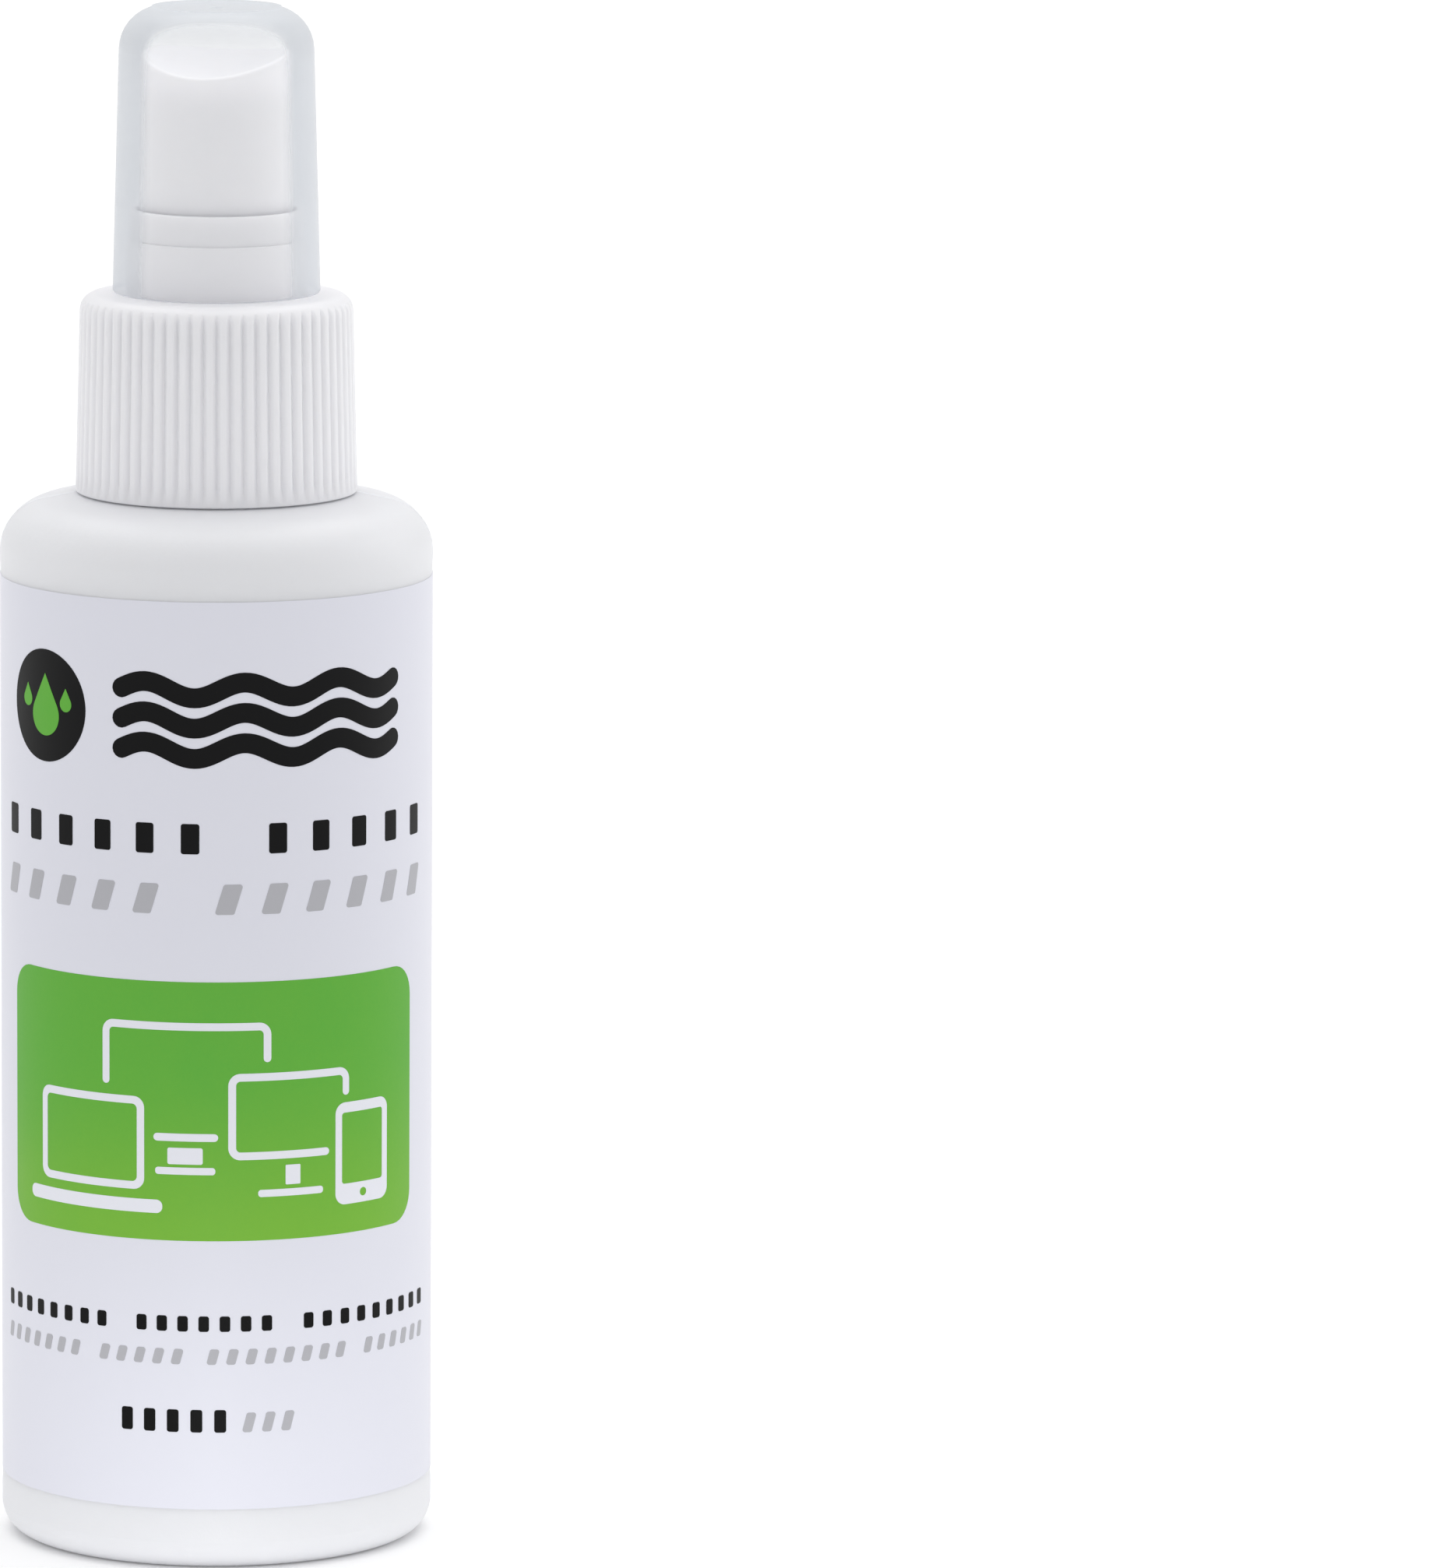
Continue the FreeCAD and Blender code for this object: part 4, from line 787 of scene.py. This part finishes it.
def rib_slice():
    """One rib's slice of the closure, from the middle of one crest to the next, open at both sides."""
    half_turn = math.pi / RIBS
    groove_foot = closure_foot + BAND_HEIGHT
    outline = closure_outline()
    shape = bmesh.new()
    rows = []
    for across, up in outline:
        row = []
        on_outside = across > skirt_radius - SKIRT_WALL + AXIS_REACH
        ribbed_there = on_outside and groove_foot < up < closure_top + GUARD
        for column in RIB_COLUMNS:
            radius = across
            if ribbed_there:
                floor = cone_radius(up) - GROOVE_DEPTH * groove_share(column)
                radius = min(across, floor)
            row.append(shape.verts.new(around(radius, column * half_turn, up)))
        rows.append(row)
    for first, second in zip(rows, rows[1:] + rows[:1]):
        for k in range(len(RIB_COLUMNS) - 1):
            shape.faces.new((first[k], first[k + 1], second[k + 1], second[k]))
    return mesh_of(shape, "rib_slice")


ribbed = grown(
    "ribbed_closure_shell", ring_of_ribs_tree(), rib_slice(), ribs=RIBS, material=MATERIALS["white_plastic"]
)
clean(ribbed)
show("ribbed_closure", ribbed, MATERIALS["white_plastic"], "closure", ["screw_closure"])

THREAD_PITCH = 3.175
THREAD_TURNS = 1.25
THREAD_START = 107.056  # height of its section's middle at its lower end
THREAD_START_ANGLE = math.radians(-90)
THREAD_STEPS = 120
THREAD_SECTION = (
    (0.2, -0.85), (-0.1, -0.78), (-0.95, -0.42), (-1.0, 0), (-0.95, 0.42), (-0.1, 0.78), (0.2, 0.85)
)  # (past the skirt's wall, above the section's middle)
END_SHARE = 0.15  # how much of its depth the thread has at its very ends
END_STEPS = 6  # steps over which it reaches its full depth


def closure_thread():
    """The ridge of the screw thread inside the skirt."""
    rows = []
    for step in range(THREAD_STEPS + 1):
        turns = THREAD_TURNS * step / THREAD_STEPS
        angle = THREAD_START_ANGLE + FULL_TURN * turns
        nearer_end = min(step, THREAD_STEPS - step)
        ends = min(1.0, END_SHARE + nearer_end / END_STEPS)
        row = []
        for past, above in THREAD_SECTION:
            across = skirt_radius - SKIRT_WALL + (past * ends if past < 0 else past)
            up = THREAD_START + THREAD_PITCH * turns + above
            row.append(around(across, angle, up))
        rows.append(row)
    return clean(mesh_of(swept(rows), "closure_thread"))


show("closure_thread", closure_thread(), MATERIALS["white_plastic"], "closure")


# ---------------------------------------------------------------- hood

HOOD_WALL = 1.2
HOOD_TAPER = math.tan(math.radians(1.5))
HOOD_CORNER = 4.2
HOOD_FOOT_ROUNDING = 0.3
DISH_RADIUS = 5.9
DISH_DEPTH = 0.15
DISH_ROUNDING = 0.2
GATE_RADIUS = 0.7
GATE_DEPTH = 0.25
GATE_ROUNDING = 0.12
HOOD_STEPS = 160


def hood_outline():
    """Outline of the hood from the gate mark outwards, down the wall and back up inside."""
    foot = level("hood", 0)
    top = level("hood", 1)
    radius = reach("hood")
    top_radius = radius - (top - foot) * HOOD_TAPER
    ceiling = top - HOOD_WALL
    ceiling_radius = radius - HOOD_WALL - (ceiling - foot) * HOOD_TAPER
    corners = [
        (0, top - DISH_DEPTH - GATE_DEPTH, 0),
        (GATE_RADIUS * 0.5, top - DISH_DEPTH - GATE_DEPTH, DISH_ROUNDING),
        (GATE_RADIUS, top - DISH_DEPTH, GATE_ROUNDING),
        (DISH_RADIUS - DISH_DEPTH, top - DISH_DEPTH, DISH_ROUNDING),
        (DISH_RADIUS + DISH_DEPTH, top, DISH_ROUNDING),
        (top_radius, top, HOOD_CORNER),
        (radius, foot, HOOD_FOOT_ROUNDING),
        (radius - HOOD_WALL, foot, HOOD_FOOT_ROUNDING),
        (ceiling_radius, ceiling, HOOD_CORNER - HOOD_WALL),
        (0, ceiling, 0),
    ]
    return rounded_line(corners, guard=GUARD)


def mark_outside(mesh, outline):
    """Gives the points of the outline's first part, down to the foot, the value 1."""
    foot = min(range(len(outline)), key=lambda index: outline[index][1])
    outer = {(round(across, 3), round(up, 3)) for across, up in outline[: foot + 1]}
    marks = mesh.attributes.new(OUTSIDE, "FLOAT", "POINT")
    for v in mesh.vertices:
        place = (round(v.co.xy.length / MM, 3), round(v.co.z / MM, 3))
        marks.data[v.index].value = 1.0 if place in outer else 0.0


hood_mesh = turned_mesh("hood_shell", hood_outline(), steps=HOOD_STEPS)
mark_outside(hood_mesh, hood_outline())
hood_shell = show("hood_shell", hood_mesh, MATERIALS["hood"], "hood", ["hood"])
# so much light comes through the hood that it neither shades nor dims what stands inside it
hood_shell.visible_shadow = False
hood_shell.visible_diffuse = False


# ---------------------------------------------------------------- springs


CLOSED_PITCH = 1.06  # rise of an end turn, in wire thicknesses
STEPS_A_TURN = 32


def spring(name, node, wire, open_turns, body):
    """Coil spring in the place of its CAD node."""
    bottom, top = level(node, 0), level(node, 1)
    closed_pitch = wire * CLOSED_PITCH
    open_pitch = (top - bottom - wire - 2 * closed_pitch) / open_turns
    mesh = grown(
        name + "_seed",
        coil_tree,
        bpy.data.meshes.new(name),
        mean_radius=(reach(node) - wire / 2) * MM,
        wire_radius=wire / 2 * MM,
        bottom=(bottom + wire / 2) * MM,
        closed_pitch=closed_pitch * MM,
        open_pitch=open_pitch * MM,
        open_turns=open_turns,
        steps=round((open_turns + 2) * STEPS_A_TURN) + 1,
        material=MATERIALS["wire"],
    )
    clean(mesh)
    return show(name, mesh, MATERIALS["wire"], body, [node])


coil_tree = coil_spring_tree()
return_coil = spring("return_coil", "return_spring", wire=0.5, open_turns=6.0, body="pump")
pressure_coil = spring("pressure_coil", "pressure_spring", wire=0.3, open_turns=4.0, body="plunger")


def squeezed(coil):
    """Gives the coil a mesh of its own."""
    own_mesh(coil)


squeezed(return_coil)
squeezed(pressure_coil)


# ---------------------------------------------------------------- mould marks on the bottle

BODY_RADIUS = reach("bottle")
SHOULDER_CORNER = 5.0
SHOULDER_SLOPE = math.tan(math.radians(12))
NECK_RADIUS = 10.8
NECK_FOOT = 101.9
BASE_CORNER = 2.8
BASE_RECESS = 1.5
MARK_HEIGHT = 0.07  # how far the mould's parting line stands out
MARK_WIDTH = 0.3
MARK_GAP = 0.2  # left free between the line and the label
NECK_GAP = 0.3
MARK_STEP = 0.5
PINCH_REACH = 12  # half the length of the pinched seam under the bottom
PINCH_HEIGHT = 0.35
PINCH_WIDTH = 0.6
BEAD_SECTION = ((-1, -0.6), (-0.6, 0.45), (0, 1), (0.6, 0.45), (1, -0.6))  # (half widths, heights)
BEAD_ENDS = 3  # points over which a bead rises at its ends


def bead(line, height, width):
    """A low ridge along a line of (x, z) points in the plane of the mould halves, sunk into the wall."""
    rows = []
    for index, point in enumerate(line):
        before = line[max(index - 1, 0)]
        after = line[min(index + 1, len(line) - 1)]
        along = (after - before).normalized()
        out = Vector((along.y, -along.x))
        taper = min(1.0, index / BEAD_ENDS, (len(line) - 1 - index) / BEAD_ENDS)
        row = []
        for side, lift in BEAD_SECTION:
            place = point + out * height * (lift if lift < 0 else lift * taper)
            row.append((place.x * MM, side * width / 2 * MM, place.y * MM))
        rows.append(row)
    return swept(rows)


def mould_marks():
    """The parting line over shoulder and foot on both sides, and the pinched seam under the bottom."""
    shoulder_edge = NECK_FOOT - (BODY_RADIUS - NECK_RADIUS) * SHOULDER_SLOPE
    over_shoulder = rounded_line(
        [
            (BODY_RADIUS, level("label", 1) + MARK_GAP, 0),
            (BODY_RADIUS, shoulder_edge, SHOULDER_CORNER),
            (NECK_RADIUS + NECK_GAP, NECK_FOOT - NECK_GAP * SHOULDER_SLOPE, 0),
        ]
    )
    round_foot = rounded_line(
        [
            (BODY_RADIUS - BASE_CORNER, 0, 0),
            # a little less than the corner, so that the arc starts past the first point
            (BODY_RADIUS, 0, BASE_CORNER - 0.01),
            (BODY_RADIUS, level("label", 0) - MARK_GAP, 0),
        ]
    )[1:]
    pinch = [Vector((across, BASE_RECESS)) for across in range(PINCH_REACH, -PINCH_REACH - 1, -1)]
    ridges = []
    for side in (1, -1):
        for line in (over_shoulder, round_foot):
            shape = bead(finer(line), MARK_HEIGHT, MARK_WIDTH)
            for v in shape.verts:
                v.co.x *= side
            ridges.append(shape)
    ridges.append(bead(pinch, PINCH_HEIGHT, PINCH_WIDTH))
    joined = bmesh.new()
    for shape in ridges:
        joined.from_mesh(mesh_of(shape, "mould_mark"))
    return clean(mesh_of(joined, "mould_marks"))


def finer(line):
    """The same line with a point at least every MARK_STEP."""
    points = [line[0]]
    for first, second in zip(line, line[1:]):
        steps = max(1, math.ceil((second - first).length / MARK_STEP))
        points += [first.lerp(second, step / steps) for step in range(1, steps + 1)]
    return points


show("mould_marks", mould_marks(), MATERIALS["mould_line"], "bottle")


# ---------------------------------------------------------------- label and print

FILM_RADIUS = 20.75  # outside of the film
INK_RADIUS = 20.775
OVERPRINT_RADIUS = 20.795
INK_THICKNESS = 0.035
FILM_GAP = 0.002  # between the bottle's wall and the film
FILM_CORNER = 1.5
BAR_ROUNDING = 0.25
WELD = 1e-5
STRIP = 0.9  # width of the strips that flat artwork is cut into before it is bent
SEAM_GAP = math.radians(3)
ART_TURN = math.radians(-2)  # the artwork's middle is a little left of the front


def filled(outlines):
    """Flat mesh between closed outlines; an outline inside another one is a hole."""
    curve = bpy.data.curves.new("artwork", "CURVE")
    curve.dimensions = "2D"
    curve.fill_mode = "BOTH"
    for outline in outlines:
        spline = curve.splines.new("POLY")
        spline.points.add(len(outline) - 1)
        for point, (across, up) in zip(spline.points, outline):
            point.co = (across, up, 0, 1)
        spline.use_cyclic_u = True
    holder = bpy.data.objects.new("artwork", curve)
    mesh = bpy.data.meshes.new_from_object(holder)
    bpy.data.objects.remove(holder)
    return mesh


def wrapped(name, outlines, radius, thickness, turn=0.0):
    """Flat artwork in millimetres, given a thickness and bent round the bottle's axis from its front."""
    shape = bmesh.new()
    for outline_set in outlines:
        shape.from_mesh(filled(outline_set))
    bmesh.ops.remove_doubles(shape, verts=shape.verts, dist=WELD)
    reach_left = min(v.co.x for v in shape.verts)
    reach_right = max(v.co.x for v in shape.verts)
    for k in range(math.ceil(reach_left / STRIP), math.ceil(reach_right / STRIP)):
        everything = shape.verts[:] + shape.edges[:] + shape.faces[:]
        bmesh.ops.bisect_plane(
            shape, geom=everything, dist=WELD, plane_co=(k * STRIP, 0, 0), plane_no=(1, 0, 0)
        )
    lifted = bmesh.ops.extrude_face_region(shape, geom=shape.faces[:])["geom"]
    under = [v for v in lifted if isinstance(v, bmesh.types.BMVert)]
    bmesh.ops.translate(shape, verts=under, vec=(0, 0, -thickness))
    for v in shape.verts:
        along, up, depth = v.co
        angle = along / radius + turn
        v.co = Vector(((radius + depth) * math.sin(angle), -(radius + depth) * math.cos(angle), up)) * MM
    return clean(mesh_of(shape, name))


def bars(words, left, right, gap, low, high, share, slant=0.0):
    """A line of plain bars that stands for lettering: one bar a letter, between left and right."""
    pitch = (right - left - gap * (len(words) - 1)) / sum(words)
    shapes = []
    start = left
    for letters in words:
        for k in range(letters):
            across = start + pitch * (k + (1 - share) / 2)
            corners = [
                (across - slant, low, BAR_ROUNDING),
                (across + pitch * share - slant, low, BAR_ROUNDING),
                (across + pitch * share + slant, high, BAR_ROUNDING),
                (across + slant, high, BAR_ROUNDING),
            ]
            shapes.append(rounded_line(corners))
        start += letters * pitch + gap
    return shapes


def wave(left, right, up, width, swings, height):
    """A bold wavy stroke."""
    steps = swings * 24
    line = []
    for step in range(steps + 1):
        share = step / steps
        lift = height * math.sin(FULL_TURN * swings * share)
        line.append(Vector((left + (right - left) * share, up + lift)))
    return stroke_shape(line, width)


def monitor(left, low, right, high):
    """Outline pair of a screen: its frame's outer and inner edge."""
    return [
        box_shape(left, low, right, high, 1.1),
        box_shape(left + PEN, low + PEN, right - PEN, high - PEN, 0.5),
    ]


film_half = (math.pi - SEAM_GAP / 2) * FILM_RADIUS
film = wrapped(
    "label_film",
    [[box_shape(-film_half, level("label", 0), film_half, level("label", 1), FILM_CORNER)]],
    FILM_RADIUS,
    FILM_RADIUS - reach("bottle") - FILM_GAP,
)
show("label_film", film, MATERIALS["film"], "bottle", ["label"])

EMBLEM = (-18.0, 82.6)
black_art = [
    [disc_shape(*EMBLEM, 5.4)],
    *([wave(-8.6, 20.2, up, 1.9, 3, 0.75)] for up in (85.2, 82.3, 79.4)),
    bars((6, 5), -26.2, 26.6, 4.0, 69.5, 72.4, 0.4),
    bars((8, 7, 9), -26.0, 27.0, 2.2, 23.4, 24.9, 0.5),
    bars((5,), -9.2, 2.2, 0.0, 13.6, 15.8, 0.5),
]
grey_art = [
    bars((5, 6), -26.2, 26.4, 3.6, 63.7, 66.6, 0.42, slant=0.45),
    bars((7, 5, 8, 6), -26.0, 27.0, 1.6, 20.2, 21.7, 0.5, slant=0.2),
    bars((3,), 2.9, 8.6, 0.0, 13.6, 15.5, 0.5, slant=0.25),
]
green_panel = [[box_shape(-23.5, 32.2, 23.5, 57.2, 3.0)]]
green_drops = [
    [drop_shape(EMBLEM[0], EMBLEM[1] - 0.9, 2.0, 4.0)],
    [drop_shape(EMBLEM[0] - 2.9, EMBLEM[1] + 0.4, 0.75, 1.5)],
    [drop_shape(EMBLEM[0] + 2.9, EMBLEM[1] + 0.4, 0.75, 1.5)],
]
white_art = [
    # large monitor, stopped where the laptop and the small monitor stand in front of it
    [pen_line([(-10.3, 47.4), (-10.3, 52.9), (5.6, 52.9), (5.6, 49.8)])],
    [pen_line([(-5.0, 42.2), (0.5, 42.2)])],
    [box_shape(-4.0, 39.6, -0.6, 41.2, 0.2)],
    [box_shape(-5.2, 38.6, 0.6, 39.3, 0.3)],
    # laptop
    monitor(-18.5, 37.0, -6.3, 46.0),
    [box_shape(-20.3, 34.8, -4.5, 36.1, 0.6)],
    # small monitor, its frame open behind the phone
    [pen_line([(11.6, 40.4), (2.2, 40.4), (2.2, 48.0), (13.9, 48.0), (13.9, 46.0)])],
    [box_shape(7.4, 37.5, 8.9, 39.4, 0.1)],
    [box_shape(4.7, 36.4, 11.3, 37.1, 0.3)],
    # phone
    [
        box_shape(12.7, 35.0, 19.4, 44.9, 1.1),
        box_shape(13.45, 37.0, 18.65, 43.9, 0.3),
        disc_shape(16.05, 36.0, 0.42),
    ],
]


def print_on_label(name, art, ink, radius):
    """Shows one ink's artwork as a thin layer on the label."""
    mesh = wrapped(name, art, radius, INK_THICKNESS, ART_TURN)
    return show(name, mesh, MATERIALS[ink], "bottle")


print_on_label("label_black_print", black_art, "black_ink", INK_RADIUS)
print_on_label("label_grey_print", grey_art, "grey_ink", INK_RADIUS)
print_on_label("label_green_panel", green_panel, "green_ink", INK_RADIUS)
print_on_label("label_green_drops", green_drops, "green_ink", OVERPRINT_RADIUS)
print_on_label("label_white_pictograms", white_art, "white_ink", OVERPRINT_RADIUS)


# ---------------------------------------------------------------- floor, light and camera

FLOOR_REACH = 30.0  # metres from its middle
LIT_PLACE = Vector((0, 0, 0.03))  # what the soft lights face
FOOT_SPOT_PLACE = (0.0, -0.75, 0.12)
FOOT_SPOT_AIM = Vector((0, 0, -0.045))


def made_floor():
    """A wide pale floor, a little uneven in tone."""
    shape = bmesh.new()
    corners = ((-1, -1), (1, -1), (1, 1), (-1, 1))
    shape.faces.new([shape.verts.new((x * FLOOR_REACH, y * FLOOR_REACH, 0)) for x, y in corners])
    mesh = mesh_of(shape, "floor")
    floor = bpy.data.objects.new(mesh.name, mesh)
    scene.collection.objects.link(floor)
    made, tree, sockets = finish_on("pale_floor", Specular_IOR_Level=0.1)
    tone = noise(tree, add(tree, "ShaderNodeTexCoord").outputs["Object"], 30.0)
    join(tree, sockets, Base_Color=mixed(tree, tone, (0.97, 0.97, 0.97), (0.98, 0.98, 0.98)))
    sockets["Roughness"].default_value = 0.9
    mesh.materials.append(made)


def hung(lamp, place, aim):
    """Puts a lamp in its place, facing another."""
    made = bpy.data.objects.new(lamp.name, lamp)
    scene.collection.objects.link(made)
    made.location = place
    made.visible_camera = False
    made.rotation_euler = (aim - made.location).to_track_quat("-Z", "Y").to_euler()


def soft_light(name, place, size, watts):
    """A large square lamp that faces the bottle."""
    lamp = bpy.data.lights.new(name, "AREA")
    lamp.shape = "SQUARE"
    lamp.size = size
    lamp.energy = watts
    hung(lamp, place, LIT_PLACE)


def foot_spot():
    """A soft pool of light on the bottle's foot from low in front."""
    lamp = bpy.data.lights.new("foot_spot", "SPOT")
    lamp.energy = 9.0
    lamp.spot_size = math.radians(13)
    lamp.spot_blend = 1.0
    lamp.shadow_soft_size = 0.03
    hung(lamp, FOOT_SPOT_PLACE, FOOT_SPOT_AIM)


def world_light(strength):
    """Even white light from all round."""
    world = bpy.data.worlds.new("studio")
    world.use_nodes = True
    background = world.node_tree.nodes["Background"]
    background.inputs["Color"].default_value = (1, 1, 1, 1)
    background.inputs["Strength"].default_value = strength
    scene.world = world


made_floor()
world_light(strength=0.655)
soft_light("top_light", (0.0, 1.0, 4.0), size=5.0, watts=115)
soft_light("left_light", (-1.2, 0.35, 0.5), size=0.9, watts=0.5)
soft_light("right_light", (1.2, 0.35, 0.5), size=0.9, watts=2.2)
foot_spot()
scene.view_settings.view_transform = "Standard"

CAMERA_PLACE = Vector((0, -1.2, 0.267))
CAMERA_PITCH = math.radians(9.18)
CAMERA_YAW = math.radians(-2.311)  # the bottle stands left of the picture's middle
CAMERA_ROLL = math.radians(0.365)  # keeps the bottle upright there
SENSOR = 36.0
FOCAL_LENGTH = 289.75  # a long lens: the upright edges run almost parallel

lens = bpy.data.cameras.new("camera")
lens.sensor_width = SENSOR
lens.lens = FOCAL_LENGTH
lens.clip_start = 0.01
lens.clip_end = 100
camera = bpy.data.objects.new("camera", lens)
scene.collection.objects.link(camera)
camera.location = CAMERA_PLACE
camera.rotation_euler = (
    Matrix.Rotation(CAMERA_YAW, 3, "Z")
    @ Matrix.Rotation(math.pi / 2 - CAMERA_PITCH, 3, "X")
    @ Matrix.Rotation(CAMERA_ROLL, 3, "Z")
).to_euler()
scene.camera = camera
